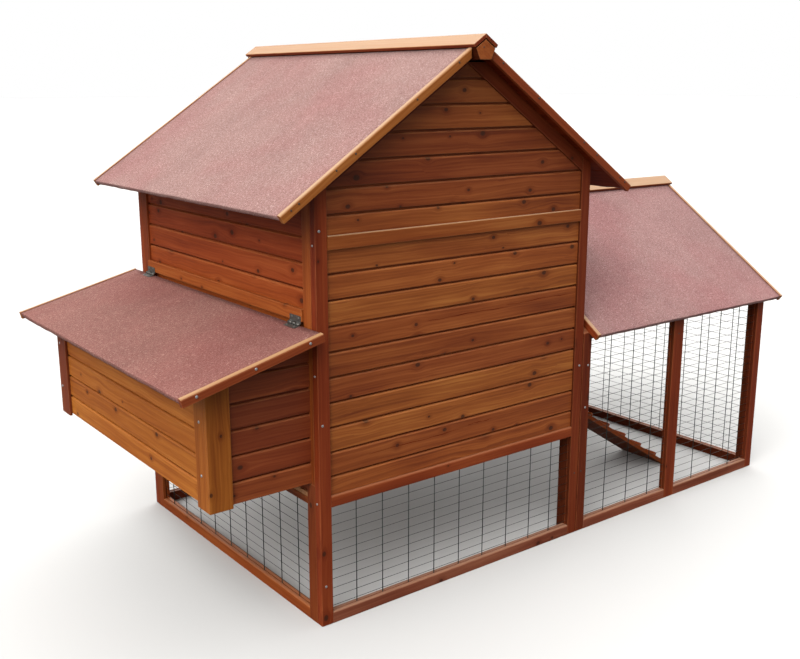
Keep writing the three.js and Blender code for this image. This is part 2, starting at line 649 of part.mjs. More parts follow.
// two boards nailed into an L
function addNestCorner(nest, name, y, inward) {
  const plank = (width, depth) => geoXZ(
    underLid(NEST_X, NEST_X + width, NEST_Z0), ...ascending(y, y + inward * depth),
  );
  const corner = join(plank(NEST_PLANK_W, NEST_PLANK_T), plank(NEST_PLANK_T, NEST_PLANK_W));
  put(nest, name, corner, mats.woodWarm);
}

// floor with its two partitions, nailed together: three laying places
function addNestFloor(nest) {
  const x0 = NEST_BOARD_X1 + GAP;
  const x1 = BOARD_IN - GAP;
  const z0 = NEST_FLOOR_Z0;
  const topZ = z0 + NEST_FLOOR_T;
  const outline = [
    [x0, z0 + 6], [-GAP, z0 + 6], [-GAP, topZ + GAP], [x1, topZ + GAP],
    [x1, PARTITION_TOP_Z], [-30, PARTITION_TOP_Z], [x0, nestTop(NEST_BOARD_X1) - 22],
  ];
  const pieces = [geoBox(x0, -GAP, NEST_INNER_Y0, NEST_INNER_Y1, z0, topZ)];
  for (let i = 1; i < NEST_HOLE.count; i++) {
    // in the middle of the strip between two nest openings
    const midY = NEST_HOLE.y0 + i * NEST_HOLE.pitch - (NEST_HOLE.pitch - NEST_HOLE.width) / 2;
    pieces.push(geoXZ(outline, midY - PARTITION_T / 2, midY + PARTITION_T / 2));
  }
  put(nest, 'nest_floor', join(...pieces), mats.ply);
}

function buildNestBox() {
  const nest = group('nest_box');
  addNestEnd(nest, 'nest_end_rear', NEST_Y0 + NEST_END_IN, 1);
  addNestEnd(nest, 'nest_end_front', NEST_Y1 - NEST_END_IN, -1);
  addNestOuterPanel(nest);
  addNestCorner(nest, 'nest_corner_rear', NEST_Y0, 1);
  addNestCorner(nest, 'nest_corner_front', NEST_Y1, -1);
  addNestFloor(nest);
}

function buildNestLid() {
  const lid = group('nest_lid_group');
  const panel = squareStrip(lidSlope, LID_X0, LID_X1, -LID_T, 0);
  const trim = squareStrip(lidSlope, LID_X0, LID_X1, -TRIM_BELOW, TRIM_PROUD);
  wallXZ(lid, 'nest_lid', panel, LID_Y0 + TRIM_T + GAP, LID_Y1 - TRIM_T - GAP, mats.felt);
  wallXZ(lid, 'nest_lid_trim_rear', trim, LID_Y0, LID_Y0 + TRIM_T, mats.trim);
  wallXZ(lid, 'nest_lid_trim_front', trim, LID_Y1 - TRIM_T, LID_Y1, mats.trim);

  // hinge leaves on the lid, each with its middle knuckle
  const { pinX, pinZ, radius, knuckleHalf, leafHalf, leafX0, leafX1, leafT } = LID_HINGE;
  const leaf = squareStrip(lidSlope, leafX0, leafX1, GAP, GAP + leafT);
  for (const [end, y] of Object.entries(LID_HINGE_Y)) {
    const knuckle = new THREE.CylinderGeometry(radius, radius, 2 * knuckleHalf, 16)
      .translate(pinX, y, pinZ);
    const hinge = join(geoXZ(leaf, y - leafHalf, y + leafHalf), knuckle);
    put(lid, `lid_hinge_${end}_leaf`, hinge, mats.zinc);
  }
}

// ----------------------------------------------------------------------- run
// wired openings of the run's long sides: x0, x1, z0, z1
const RUN_BAY_NEAR = [RUN_X0 + POST_W, RUN_MID_X0, RUN_RAIL_H, RUN_TOP_RAIL_Z0];
const RUN_BAY_FAR = [RUN_MID_X1, RUN_X1 - POST_W, RUN_RAIL_H, RUN_TOP_RAIL_Z0];
const RUN_BOTH_BAYS = [RUN_X0 + POST_W, RUN_X1 - POST_W, RUN_RAIL_H, RUN_TOP_RAIL_Z0];

// three posts, bottom rail and top rail, with the top bevelled to the roof
function addRunSideFrame(run, name, isFront, sheetOpening) {
  const place = (outline) => (isFront ? mirror(outline, HOUSE_D) : outline);
  const y0 = isFront ? FRONT_Y0 : 0;
  const past = FRAME_T + 1;
  const blank = geoXZ(rect(RUN_X0, RUN_X1, 0, RUN_BLANK_Z1), y0, y0 + FRAME_T,
    [rect(...RUN_BAY_NEAR), rect(...RUN_BAY_FAR)]);
  const underRoof = place([[-1, -1], [past, -1], [past, runFrameTop(past)], [-1, runFrameTop(-1)]]);
  // the inner posts are notched for the roof's inner edge trim
  const notchZ = (y) => runSlope.lift(y, -TRIM_BELOW - GAP);
  const notch = place([
    [-1, notchZ(-1)], [past, notchZ(past)], [past, RUN_BLANK_Z1], [-1, RUN_BLANK_Z1],
  ]);
  const frame = cut(
    common(blank, geoYZ(underRoof, RUN_X0 - 5, RUN_X1 + 5)),
    geoYZ(notch, RUN_X0 - 5, RUN_ROOF_X0 + TRIM_T + GAP),
    sheetSlot(geoXZ, sheetOpening, isFront ? FRONT_SHEET_Y : LOW_SHEET_SIDE),
  );
  put(run, name, frame, mats.wood);
}

// gabled end frame and its five-sided wire sheet
function addRunEnd(run) {
  const mid = HOUSE_D / 2;
  const y0 = BETWEEN_Y0;
  const y1 = BETWEEN_Y1;
  const outline = [
    [y0, 0], [y1, 0], [y1, runFrameTop(y0)], [mid, runFrameTop(mid)], [y0, runFrameTop(y0)],
  ];
  // where the underside of the rafter meets the top of the rail
  const gableY = y0 + (RUN_END_RAIL_Z1 - runRafterUnder(y0)) / RUN_TAN;
  const holes = [
    rect(y0 + RUN_END_STILE_W, y1 - RUN_END_STILE_W, RUN_RAIL_H, RUN_END_RAIL_Z0),
    [[gableY, RUN_END_RAIL_Z1], [mid, runRafterUnder(mid)], [HOUSE_D - gableY, RUN_END_RAIL_Z1]],
  ];

  const sheetY0 = y0 + RUN_END_STILE_W - GROOVE + GAP;
  const sheetY1 = HOUSE_D - sheetY0;
  const sheetZ0 = RUN_RAIL_H - GROOVE + GAP;
  const sideZ = runRafterUnder(sheetY0) + 4;
  const peakZ = runRafterUnder(mid) + 12;
  const sheetOutline = (margin) => [
    [sheetY0 - margin, sheetZ0 - margin], [sheetY1 + margin, sheetZ0 - margin],
    [sheetY1 + margin, sideZ], [mid, peakZ + margin], [sheetY0 - margin, sideZ],
  ];
  const sheetX1 = RUN_X1 - MESH_IN;
  const sheetX0 = sheetX1 - WIRE;
  const slot = geoYZ(sheetOutline(GAP), sheetX0 - GAP, sheetX1 + GAP);
  const frame = geoYZ(outline, RUN_X1 - FRAME_T, RUN_X1, holes);
  put(run, 'run_end_frame', cut(frame, slot), mats.wood);

  // only the gable cells that clear the sheet's sloping edge are opened
  const edgeTan = (peakZ - sideZ) / (mid - sheetY0);
  const clearsEdge = ([cellY0, cellY1, , cellZ1]) =>
    cellZ1 < sideZ + (Math.min(cellY0, HOUSE_D - cellY1) - sheetY0) * edgeTan - 8;
  const cells = [
    ...latticeCells(sheetY0, sheetY1, sheetZ0, 590, 9, 6),
    ...latticeCells(sheetY0, sheetY1, 592, 892, 9, 3).filter(clearsEdge),
  ];
  wallYZ(run, 'run_end_mesh', sheetOutline(0), sheetX0, sheetX1, mats.mesh, toHoles(cells));
}

// two felted panels, edge trims and ridge cap
function addRunRoof(run) {
  const x0 = RUN_ROOF_X0 + TRIM_T + GAP;
  const x1 = RUN_ROOF_X1 - TRIM_T - GAP;
  const panel = eaveStrip(runSlope, RUN_EAVE_Y, HOUSE_D / 2 - GAP, -RUN_ROOF_T, 0);
  const trim = chevron(runSlope, RUN_EAVE_Y, -TRIM_BELOW, TRIM_PROUD);
  const cap = capOutline(runSlope, RUN_CAP_W, RUN_CAP_T);
  wallYZ(run, 'run_roof_rear', panel, x0, x1, mats.felt);
  wallYZ(run, 'run_roof_front', mirror(panel, HOUSE_D), x0, x1, mats.felt);
  wallYZ(run, 'run_trim_inner', trim, RUN_ROOF_X0, RUN_ROOF_X0 + TRIM_T, mats.trim);
  wallYZ(run, 'run_trim_outer', trim, RUN_ROOF_X1 - TRIM_T, RUN_ROOF_X1, mats.trim);
  wallYZ(run, 'run_ridge_cap', cap, RUN_ROOF_X0 - RUN_CAP_PROUD, RUN_ROOF_X1 + RUN_CAP_PROUD,
    mats.trim);
}

// mesh door in the front of the run
function addRunDoor(run) {
  const door = grown([RUN_DOOR_X0, RUN_DOOR_X1, RUN_DOOR_Z0, RUN_DOOR_Z1], -DOOR_GAP);
  const pane = grown(door, -RUN_DOOR_FRAME_W);
  const face = HOUSE_D - RUN_DOOR_IN;
  const frame = geoXZ(rect(...door), FRONT_Y0 + RUN_DOOR_IN, face, [rect(...pane)]);
  put(run, 'run_door_frame', cut(frame, sheetSlot(geoXZ, pane, FRONT_SHEET_Y)), mats.wood);
  wireSheet(wallXZ, run, 'run_door_mesh', pane, FRONT_SHEET_Y, 3, 5);
  doorHinge(run, 'run_door_hinge_lower', RUN_DOOR_X0 + 1, face, 120);
  doorHinge(run, 'run_door_hinge_upper', RUN_DOOR_X0 + 1, face, 480);
  turnButton(run, 'run_door_button', 1775, HOUSE_D, 330);
}

// plank with cleats, from the pop-hole sill down to the ground
function addRamp(run) {
  const { cos } = rampSlope;
  const topX = HOUSE_W - 4;
  const footX = RAMP_GROUND_X + RAMP_T / cos / RAMP_TAN;
  const plank = [
    [RAMP_GROUND_X, 0], [footX, 0], [topX, rampSlope.lift(topX, RAMP_T)], [topX, rampSlope.top(topX)],
  ];
  const pieces = [geoXZ(plank, RAMP_Y0, RAMP_Y1)];
  for (let i = 0; i < CLEAT.count; i++) {
    const x = RAMP_GROUND_X - (CLEAT.first + i * CLEAT.pitch) * cos;
    const cleat = squareStrip(rampSlope, x, x - CLEAT.width * cos,
      RAMP_T - OVERLAP, RAMP_T + CLEAT.height);
    pieces.push(geoXZ(cleat, RAMP_Y0 + CLEAT.sideIn, RAMP_Y1 - CLEAT.sideIn));
  }
  put(run, 'ramp', join(...pieces), mats.woodWarm);
}

function buildRun() {
  const run = group('run');
  // on the rear side one sheet runs through a slot in the middle post
  addRunSideFrame(run, 'run_rear_frame', false, RUN_BOTH_BAYS);
  addRunSideFrame(run, 'run_front_frame', true, RUN_BAY_NEAR);
  wireSheet(wallXZ, run, 'run_rear_mesh', RUN_BOTH_BAYS, LOW_SHEET_SIDE, 8, 6);
  wireSheet(wallXZ, run, 'run_front_mesh', RUN_BAY_NEAR, FRONT_SHEET_Y, 4, 6);
  addRunEnd(run);
  addRunRoof(run);
  addRunDoor(run);
  addRamp(run);
}

// ------------------------------------------------------------------ assembly
buildRearWall();
buildFrontWall();
buildNestWall();
buildRunWall();
buildInside();
buildRoof();
buildNestBox();
buildNestLid();
buildRun();

// origin: middle of the footprint, on the ground
const minX = lidSlope.square(LID_X0, TRIM_PROUD)[0];
const maxX = RUN_ROOF_X1 + RUN_CAP_PROUD;
coop.position.set(-(minX + maxX) / 2, -HOUSE_D / 2, 0);

export default coop;
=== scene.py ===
# Chicken coop: a gabled house on posts, a nest box on its left and a wire run on its right.
# All sizes are millimetres from the lowest corner of the rear left post: x runs from the
# nest box towards the run, y from the rear wall (0) to the front wall, z up.
import bpy
import bmesh
import json
import math
import numpy as np
from mathutils import Vector, Matrix

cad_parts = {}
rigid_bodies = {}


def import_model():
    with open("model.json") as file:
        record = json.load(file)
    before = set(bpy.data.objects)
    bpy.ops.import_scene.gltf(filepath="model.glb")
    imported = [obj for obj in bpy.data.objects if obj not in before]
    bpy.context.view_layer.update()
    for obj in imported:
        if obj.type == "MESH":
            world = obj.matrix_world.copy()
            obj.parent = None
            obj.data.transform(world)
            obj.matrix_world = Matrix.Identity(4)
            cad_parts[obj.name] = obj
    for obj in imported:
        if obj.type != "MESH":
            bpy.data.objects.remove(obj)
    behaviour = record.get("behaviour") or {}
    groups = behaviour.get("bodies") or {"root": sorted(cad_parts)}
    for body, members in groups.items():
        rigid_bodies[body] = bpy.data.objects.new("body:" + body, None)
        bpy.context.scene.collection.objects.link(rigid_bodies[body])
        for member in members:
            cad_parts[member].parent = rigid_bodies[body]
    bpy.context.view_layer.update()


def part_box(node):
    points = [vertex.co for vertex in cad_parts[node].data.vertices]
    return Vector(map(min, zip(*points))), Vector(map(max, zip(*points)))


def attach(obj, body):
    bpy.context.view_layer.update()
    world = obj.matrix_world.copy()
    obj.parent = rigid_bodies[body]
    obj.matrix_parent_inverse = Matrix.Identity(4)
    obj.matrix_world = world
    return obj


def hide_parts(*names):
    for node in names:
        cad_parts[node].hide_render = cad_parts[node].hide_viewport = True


bpy.ops.object.select_all(action="SELECT")
bpy.ops.object.delete()
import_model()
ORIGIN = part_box("rear_post_left")[0]
MM = 0.001

# ------------------------------------------------------------------ dimensions
WIDTH, DEPTH = 900.0, 968.0          # the house along x and y
MIDDLE_X, MIDDLE_Y = WIDTH / 2, DEPTH / 2
GAP = 0.3                            # clearance between neighbouring parts
FRAME = 22.0                         # thickness of the wall frames
POST, STILE, RAFTER = 33.0, 34.0, 33.0   # face widths
FRONT = DEPTH - FRAME                # inner side of the front wall frame
SIDE_Y0, SIDE_Y1 = FRAME + GAP, DEPTH - FRAME - GAP   # the side walls fit between the end walls
SILL_TOP, FLOOR_RAIL_LOW = 30, 308
FLOOR_Z, FLOOR_THICK = 337.0, 12
JOIST_TOP = FLOOR_Z - FLOOR_THICK - GAP
BATTEN_TOP = 967.5

PANEL = 12                           # roof and lid panels
TRIM, TRIM_UP, TRIM_DOWN = 12, 2, -19  # trim thickness, and its reach above and below the felt
CAP_LOW, CAP_THICK = 2 + GAP, 9      # ridge caps above the felt
ROOF_SLOPE, ROOF_OVER, ROOF_EAVE_Z = 0.667, 116, 1027
RUN_SLOPE, RUN_OVER, RUN_EAVE_Z = 0.68, 36, 608
LID_OUTER, LID_INNER = (-363, 665.5), (-8, 754)
LID_SLOPE = (LID_INNER[1] - LID_OUTER[1]) / (LID_INNER[0] - LID_OUTER[0])
ROOF_COS = 1 / math.hypot(1, ROOF_SLOPE)
RUN_COS = 1 / math.hypot(1, RUN_SLOPE)
LID_COS = 1 / math.hypot(1, LID_SLOPE)

# wire lies in grooves, MESH_IN from the outer face of a frame
GROOVE_DEPTH, MESH_TUCK, MESH_IN = 6.0, 5.7, 11
REAR_GROOVE = (9.7, 12.3)
FRONT_GROOVE = (DEPTH - 12.3, DEPTH - 9.7)

# cladding runs: first joint, pitch, height at which the run stops
END_LOWER, END_UPPER = (387, 61.65, 890), (955.9, 60.3, 1400)
SIDE_BOARDS = (415, 61, 1400)
NEST_END_BOARDS, NEST_OUTER_BOARDS = (424, 62, 760), (425, 60.7, 700)
CLAD_SET_IN, CLAD_THICK = 6, 12.0
CLAD_GROOVE, CLAD_LIP = 5.6, 4.0     # open groove above each board, rounding of its top edge


def roof_top(x):
    return ROOF_EAVE_Z + ROOF_SLOPE * (min(x, WIDTH - x) + ROOF_OVER)


def roof_under(x):
    return roof_top(x) - PANEL / ROOF_COS


def roof_seat(x):
    return roof_under(x) - GAP


def rafter_under(x):
    return roof_under(x) - RAFTER / ROOF_COS


def run_top(y):
    return RUN_EAVE_Z + RUN_SLOPE * (min(y, DEPTH - y) + RUN_OVER)


def run_seat(y):
    return run_top(y) - PANEL / RUN_COS - GAP


def run_rafter_under(y):
    return run_seat(y) - RAFTER / RUN_COS


def lid_top(x):
    return LID_INNER[1] + LID_SLOPE * (x - LID_INNER[0])


def lid_under(x):
    return lid_top(x) - PANEL / LID_COS


def lift(x, z, slope, height):
    """The point at a height square above a sloping line through (x, z)."""
    cos = 1 / math.hypot(1, slope)
    return (x - slope * cos * height, z + cos * height)


def above_roof(x, height):
    return lift(x, roof_top(x), ROOF_SLOPE, height)


def above_run(y, height):
    return lift(y, run_top(y), RUN_SLOPE, height)


def above_lid(x, height):
    return lift(x, lid_top(x), LID_SLOPE, height)


# ------------------------------------------------------------------- mesh maker
X, Y, Z = Vector((1, 0, 0)), Vector((0, 1, 0)), Vector((0, 0, 1))
# board axes: along the grain, across the width, through the thickness
X_UP, Y_UP = (X, Z, Y), (Y, Z, X)
UP_X, UP_Y = (Z, X, Y), (Z, Y, X)
X_FLAT, Y_FLAT = (X, Y, Z), (Y, X, Z)
NEUTRAL = (0, 0, 0.5)                # tint of metal and felt


def sloped(grain, across):
    return (grain, grain.cross(across), across)


ROOF_RISE = Vector((1, 0, ROOF_SLOPE)).normalized()
ROOF_FALL = Vector((1, 0, -ROOF_SLOPE)).normalized()
RUN_RISE = Vector((0, 1, RUN_SLOPE)).normalized()
RUN_FALL = Vector((0, 1, -RUN_SLOPE)).normalized()
LID_RISE = Vector((1, 0, LID_SLOPE)).normalized()


def place(axis, a, b, along):
    """A point from its two outline coordinates and its place along the axis."""
    return {"x": (along, a, b), "y": (a, along, b), "z": (a, b, along)}[axis]


def mirrored(outline, span):
    return [(span - a, z) for a, z in outline][::-1]


def new_bmesh():
    bm = bmesh.new()
    bm.faces.layers.float.new("edge")
    return bm


def prism(outline, axis, low, high):
    """A closed prism: outline in (y, z), (x, z) or (x, y), drawn along x, y or z."""
    bm = new_bmesh()
    lower = [bm.verts.new(place(axis, a, b, low)) for a, b in outline]
    upper = [bm.verts.new(place(axis, a, b, high)) for a, b in outline]
    n = len(outline)
    bm.faces.new(lower)
    bm.faces.new(upper)
    for i in range(n):
        j = (i + 1) % n
        bm.faces.new((lower[i], lower[j], upper[j], upper[i]))
    bmesh.ops.recalc_face_normals(bm, faces=bm.faces)
    return bm


def box(x0, x1, y0, y1, z0, z1):
    return prism([(x0, y0), (x1, y0), (x1, y1), (x0, y1)], "z", z0, z1)


def cut_off(bm, point, normal):
    """Keeps the side the normal points away from and closes the cut."""
    geom = bm.verts[:] + bm.edges[:] + bm.faces[:]
    bmesh.ops.bisect_plane(bm, geom=geom, dist=1e-4, plane_co=point, plane_no=normal,
                           clear_outer=True)
    rim = [e for e in bm.edges if len(e.link_faces) == 1]
    if rim:
        bmesh.ops.holes_fill(bm, edges=rim, sides=0)


def bevel_edges(bm, size, segs=1, pick=None, angle=35.0):
    """Bevels the picked edges, or all sharper than the angle, and marks the new faces."""
    if pick is None:
        limit = math.radians(angle)

        def pick(e):
            return e.calc_face_angle(0.0) > limit
    edges = [e for e in bm.edges if len(e.link_faces) == 2 and pick(e)]
    if not edges:
        return
    made = bmesh.ops.bevel(bm, geom=edges, offset=size, offset_type="OFFSET", segments=segs,
                           profile=0.5, affect="EDGES", clamp_overlap=True)
    layer = bm.faces.layers.float["edge"]
    for f in made["faces"]:
        f[layer] = 1.0


def tube(start, end, radius, segs):
    start, end = Vector(start), Vector(end)
    along = (end - start).normalized()
    side = along.orthogonal().normalized()
    other = along.cross(side)
    bm = new_bmesh()
    near, far = [], []
    for k in range(segs):
        turn = 2 * math.pi * (k + 0.5) / segs
        out = (side * math.cos(turn) + other * math.sin(turn)) * radius
        near.append(bm.verts.new(start + out))
        far.append(bm.verts.new(end + out))
    for k in range(segs):
        j = (k + 1) % segs
        bm.faces.new((near[k], near[j], far[j], far[k]))
    bm.faces.new(near[::-1])
    bm.faces.new(far)
    return bm


def edge_at(**where):
    """Picks edges lying at the given coordinates, for example edge_at(y=0, z=30)."""
    return lambda e: all(abs(getattr(v.co, axis) - value) < 0.01
                         for v in e.verts for axis, value in where.items())


def on_line(axis, outer, points):
    """Picks the edges that join two of the outline points on the outer side."""
    d = 1 if axis == "y" else 0

    def pick(e):
        return all(abs(v.co[d] - outer) < 0.01 and
                   any(abs(v.co[1 - d] - a) < 0.01 and abs(v.co.z - b) < 0.01
                       for a, b in points) for v in e.verts)
    return pick


def faces_left_in_shade(normal):
    # faces turned to low x get a near-black wood as painted shade
    return normal.x < -0.8


def shaded_ends(axis):
    # ends and downward faces get a darker wood as painted shade
    return lambda normal: abs(getattr(normal, axis)) > 0.75 or normal.z < -0.3


def seed_of(name):
    seed = 7
    for letter in name:
        seed = (seed * 131 + ord(letter)) % 2147483647
    return seed


class Part:
    """One visible piece: many boards or fittings collected into one mesh."""

    def __init__(self, name):
        self.name = name
        self.rng = np.random.default_rng(seed_of(name))
        self.points, self.grain, self.faces = [], [], []
        self.tints, self.edges, self.ups = [], [], []
        self.indices, self.smooths = [], []

    def draw(self, low, high):
        return float(self.rng.uniform(low, high))

    def add(self, bm, axes, tint=None, material=0, smooth=False, second=None):
        """Takes in a bmesh. Faces whose normal passes the test second get material 1.
        A tint is brightness, hue from red to gold, and a spare value."""
        if tint is None:
            tint = (float(self.rng.normal(0, 1)), self.draw(-1, 1), self.draw(0, 1))
        shift = Vector((self.draw(0, 40), self.draw(0, 40), self.draw(0, 40)))
        layer = bm.faces.layers.float["edge"]
        base = len(self.points)
        bm.verts.ensure_lookup_table()
        bm.verts.index_update()
        for v in bm.verts:
            self.points.append(tuple(v.co))
            self.grain.append([v.co.dot(axes[i]) * MM + shift[i] for i in range(3)])
        bm.normal_update()
        for f in bm.faces:
            self.ups.append(max(0.0, f.normal.z))
            self.faces.append([base + v.index for v in f.verts])
            self.tints.append(tint)
            self.edges.append(f[layer])
            self.indices.append(1 if second and second(f.normal) else material)
            self.smooths.append(smooth)
        bm.free()

    def board(self, outline, axis, low, high, axes, cuts=(), bevel=1.2, segs=2, **look):
        bm = prism(outline, axis, low, high)
        for cut in cuts:
            cut_off(bm, *cut)
        if bevel:
            bevel_edges(bm, bevel, segs)
        self.add(bm, axes, **look)

    def slab(self, x0, x1, y0, y1, z0, z1, axes, cuts=(), bevel=1.2, segs=2, **look):
        corners = [(x0, y0), (x1, y0), (x1, y1), (x0, y1)]
        self.board(corners, "z", z0, z1, axes, cuts, bevel, segs, **look)

    def rounded(self, outline, axis, low, high, axes, pick, radius, rest=1.2, **look):
        """A board whose picked edges are rounded over and the rest only eased."""
        bm = prism(outline, axis, low, high)
        bevel_edges(bm, radius, 3, pick=pick)
        layer = bm.faces.layers.float["edge"]
        bevel_edges(bm, rest, 1, pick=lambda e: e.calc_face_angle(0.0) > 1.0 and
                    all(f[layer] < 0.5 for f in e.link_faces))
        self.add(bm, axes, **look)

    def screw(self, position, normal, radius):
        """A round-headed cross-slot screw standing on the surface."""
        normal = Vector(normal).normalized()
        side = normal.orthogonal().normalized()
        side = Matrix.Rotation(self.draw(0, math.pi / 2), 3, normal) @ side
        other = normal.cross(side)
        centre = Vector(position)
        segs = 16
        bm = new_bmesh()
        slot = (0.5, 0.2, 0.17, 0.2)
        rings = []
        # height above the surface, share of the radius round the ring
        for height, shares in ((-0.6, (1.0,)), (0.15, (1.0,)), (0.75, (0.93,)),
                               (1.25, (0.75,)), (1.5, slot), (0.35, slot)):
            ring = []
            for k in range(segs):
                turn = 2 * math.pi * k / segs
                out = side * math.cos(turn) + other * math.sin(turn)
                share = shares[k % len(shares)]
                ring.append(bm.verts.new(centre + out * radius * share + normal * height))
            rings.append(ring)
        for a, b in zip(rings, rings[1:]):
            for k in range(segs):
                j = (k + 1) % segs
                bm.faces.new((a[k], a[j], b[j], b[k]))
        bottom = bm.verts.new(centre + normal * 0.3)
        for k in range(segs):
            bm.faces.new((rings[-1][k], rings[-1][(k + 1) % segs], bottom))
        bmesh.ops.recalc_face_normals(bm, faces=bm.faces)
        self.add(bm, (side, other, normal), tint=(0.0, 0.0, self.draw(0, 1)))

    def screws(self, axis, level, side, radius, points):
        """Screws in a plane square to the axis, facing up (1) or down (-1) that axis."""
        for a, b in points:
            self.screw(place(axis, a, b, level), place(axis, 0, 0, side), radius)

    def knuckle(self, start, end, radius=3.2):
        bm = tube(start, end, radius, segs=20)
        bevel_edges(bm, 0.35, 1, angle=60)
        self.add(bm, Y_UP, smooth=True, tint=NEUTRAL)

    def build(self, slot, *materials, body="root", kind="wood", replaces=True):
        name = f"{self.name}.{kind}"
        mesh = bpy.data.meshes.new(name)
        points = (np.array(self.points, float) * MM) + np.array(ORIGIN)
        mesh.from_pydata(points.tolist(), [], self.faces)
        mesh.validate(clean_customdata=False)

        def attribute(label, kind, domain, field, values):
            data = mesh.attributes.new(label, kind, domain).data
            data.foreach_set(field, np.array(values, np.float32).ravel())
        # the face lists only fit when validate() has dropped no face
        if len(mesh.polygons) == len(self.faces):
            mesh.polygons.foreach_set("material_index", self.indices)
            mesh.polygons.foreach_set("use_smooth", self.smooths)
            attribute("gt", "FLOAT_VECTOR", "FACE", "vector", self.tints)
            attribute("ge", "FLOAT", "FACE", "value", self.edges)
            attribute("gu", "FLOAT", "FACE", "value", self.ups)
        attribute("gc", "FLOAT_VECTOR", "POINT", "vector", self.grain)
        mesh.update()
        ob = bpy.data.objects.new(name, mesh)
        bpy.context.scene.collection.objects.link(ob)
        for material in materials:
            mesh.materials.append(material)
        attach(ob, body)
        if replaces:
            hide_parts(self.name)

    def build_screws(self, body="root"):
        self.build("hardware", BOLT, body=body, kind="metal", replaces=False)


def slope_cut(axis, height, start, end):
    """A cutting plane, level along the axis, through the line height(start)..height(end)."""
    low, high = height(start), height(end)
    slope = (high - low) / (end - start)
    return (Vector(place(axis, start, low, 0)), Vector(place(axis, -slope, 1, 0)).normalized())


def slope_cuts(axis, height):
    """The cuts under both slopes of a gable whose ridge runs along the axis."""
    span = WIDTH if axis == "y" else DEPTH
    return (slope_cut(axis, height, 0.0, 100.0), slope_cut(axis, height, span - 100.0, span))


def grooved(a0, a1, b0, b1, side, groove=REAR_GROOVE):
    """Cross-section rectangle with the wire groove in one side: 'a+', 'a-', 'b+', 'b-'.
    The groove's place is given in the other coordinate."""
    g0, g1 = groove
    deep = GROOVE_DEPTH
    if side == "a+":
        return [(a0, b0), (a1, b0), (a1, g0), (a1 - deep, g0), (a1 - deep, g1), (a1, g1),
                (a1, b1), (a0, b1)]
    if side == "a-":
        return [(a0, b0), (a1, b0), (a1, b1), (a0, b1), (a0, g1), (a0 + deep, g1),
                (a0 + deep, g0), (a0, g0)]
    if side == "b+":
        return [(a0, b0), (a1, b0), (a1, b1), (g1, b1), (g1, b1 - deep), (g0, b1 - deep),
                (g0, b1), (a0, b1)]
    return [(a0, b0), (g0, b0), (g0, b0 + deep), (g1, b0 + deep), (g1, b0), (a1, b0),
            (a1, b1), (a0, b1)]


# -------------------------------------------------------------------- cladding
def strips(u0, u1, z0, z1, openings):
    """The strip between z0 and z1 as simple outlines, notched or split by openings."""
    through, notches = [], []
    for a, b, low, high in openings:
        if high <= z0 + 0.01 or low >= z1 - 0.01:
            continue
        if low <= z0 + 0.01 and high >= z1 - 0.01:
            through.append((a, b))
        else:
            notches.append((a, b, low, high))
    spans, start = [], u0
    for a, b in sorted(through):
        if a > start + 1:
            spans.append((start, min(a, u1)))
        start = max(start, b)
    if start < u1 - 1:
        spans.append((start, u1))
    outlines = []
    for left, right in spans:
        inside = [n for n in sorted(notches) if n[0] >= left and n[1] <= right]
        bottom, top = [(left, z0)], [(right, z1)]
        for a, b, low, high in inside:
            if low <= z0 + 0.01:
                bottom += [(a, z0), (a, high), (b, high), (b, z0)]
        bottom.append((right, z0))
        for a, b, low, high in reversed(inside):
            if high >= z1 - 0.01:
                top += [(b, z1), (b, low), (a, low), (a, z1)]
        top.append((left, z1))
        outlines.append(bottom + top)
    return outlines


def siding(part, axis, u0, u1, z0, z1, runs, face, out, openings=(), cuts=(), tints=()):
    """Horizontal cladding across the axis, each board with a rounded top edge below an open
    groove and a tongue behind it, tinted dark as painted shade. Openings are (u0, u1, z0, z1)."""
    axes = X_UP if axis == "y" else Y_UP
    joints = []
    for z, pitch, stop in runs:
        while z < min(z1 - 1, stop):
            if z > z0 + 9:
                joints.append(z)
            z += pitch
    levels = [z0] + joints + [z1]
    wider = [(a - 1, b + 1, low - 4, high + 4) for a, b, low, high in openings]
    for k, (low, joint) in enumerate(zip(levels, levels[1:])):
        last = k == len(levels) - 2
        top = joint if last else joint - CLAD_GROOVE
        if top - low < 2:
            continue
        outer = face + out * part.draw(-0.35, 0.35)
        back = face - out * CLAD_THICK
        for outline in strips(u0, u1, low, top, openings):
            bm = prism(outline, axis, min(outer, back), max(outer, back))
            if not last:
                bevel_edges(bm, CLAD_LIP, 3, pick=edge_at(**{axis: outer, "z": top}))
            bevel_edges(bm, 1.0, 1, pick=edge_at(**{axis: outer, "z": low}))
            for cut in cuts:
                cut_off(bm, *cut)
            part.add(bm, axes, tint=tints[k] if k < len(tints) else None)
        if not last:
            # the tongue's low tint is painted shade in the groove
            sides = sorted((face - out * 7.0, face - out * 11.0))
            for outline in strips(u0, u1, joint - CLAD_GROOVE - 4, joint + 3, wider):
                part.board(outline, axis, *sides, axes, cuts, bevel=0, tint=(-3.2, -1.0, 0.5))


def crack(part, x0, x1, z, slope=0.0):
    """A hairline crack along a board of the rear cladding."""
    n, y = 22, CLAD_SET_IN
    upper, lower = [], []
    for k in range(n + 1):
        f = k / n
        x = x0 + (x1 - x0) * f
        centre = z + slope * (x - x0) + 1.1 * math.sin(f * 9.0 + x0) + 0.5 * math.sin(f * 31.0)
        half = 0.75 * (0.25 + math.sin(math.pi * f) ** 0.5) * (0.7 + 0.3 * math.sin(f * 17.0 + 1.0))
        upper.append((x, centre + half))
        lower.append((x, centre - half))
    for k in range(n):
        part.board([lower[k], lower[k + 1], upper[k + 1], upper[k]], "y", y - 0.08, y + 0.3,
                   X_UP, bevel=0, material=1, tint=(-2, -1, 0.5))


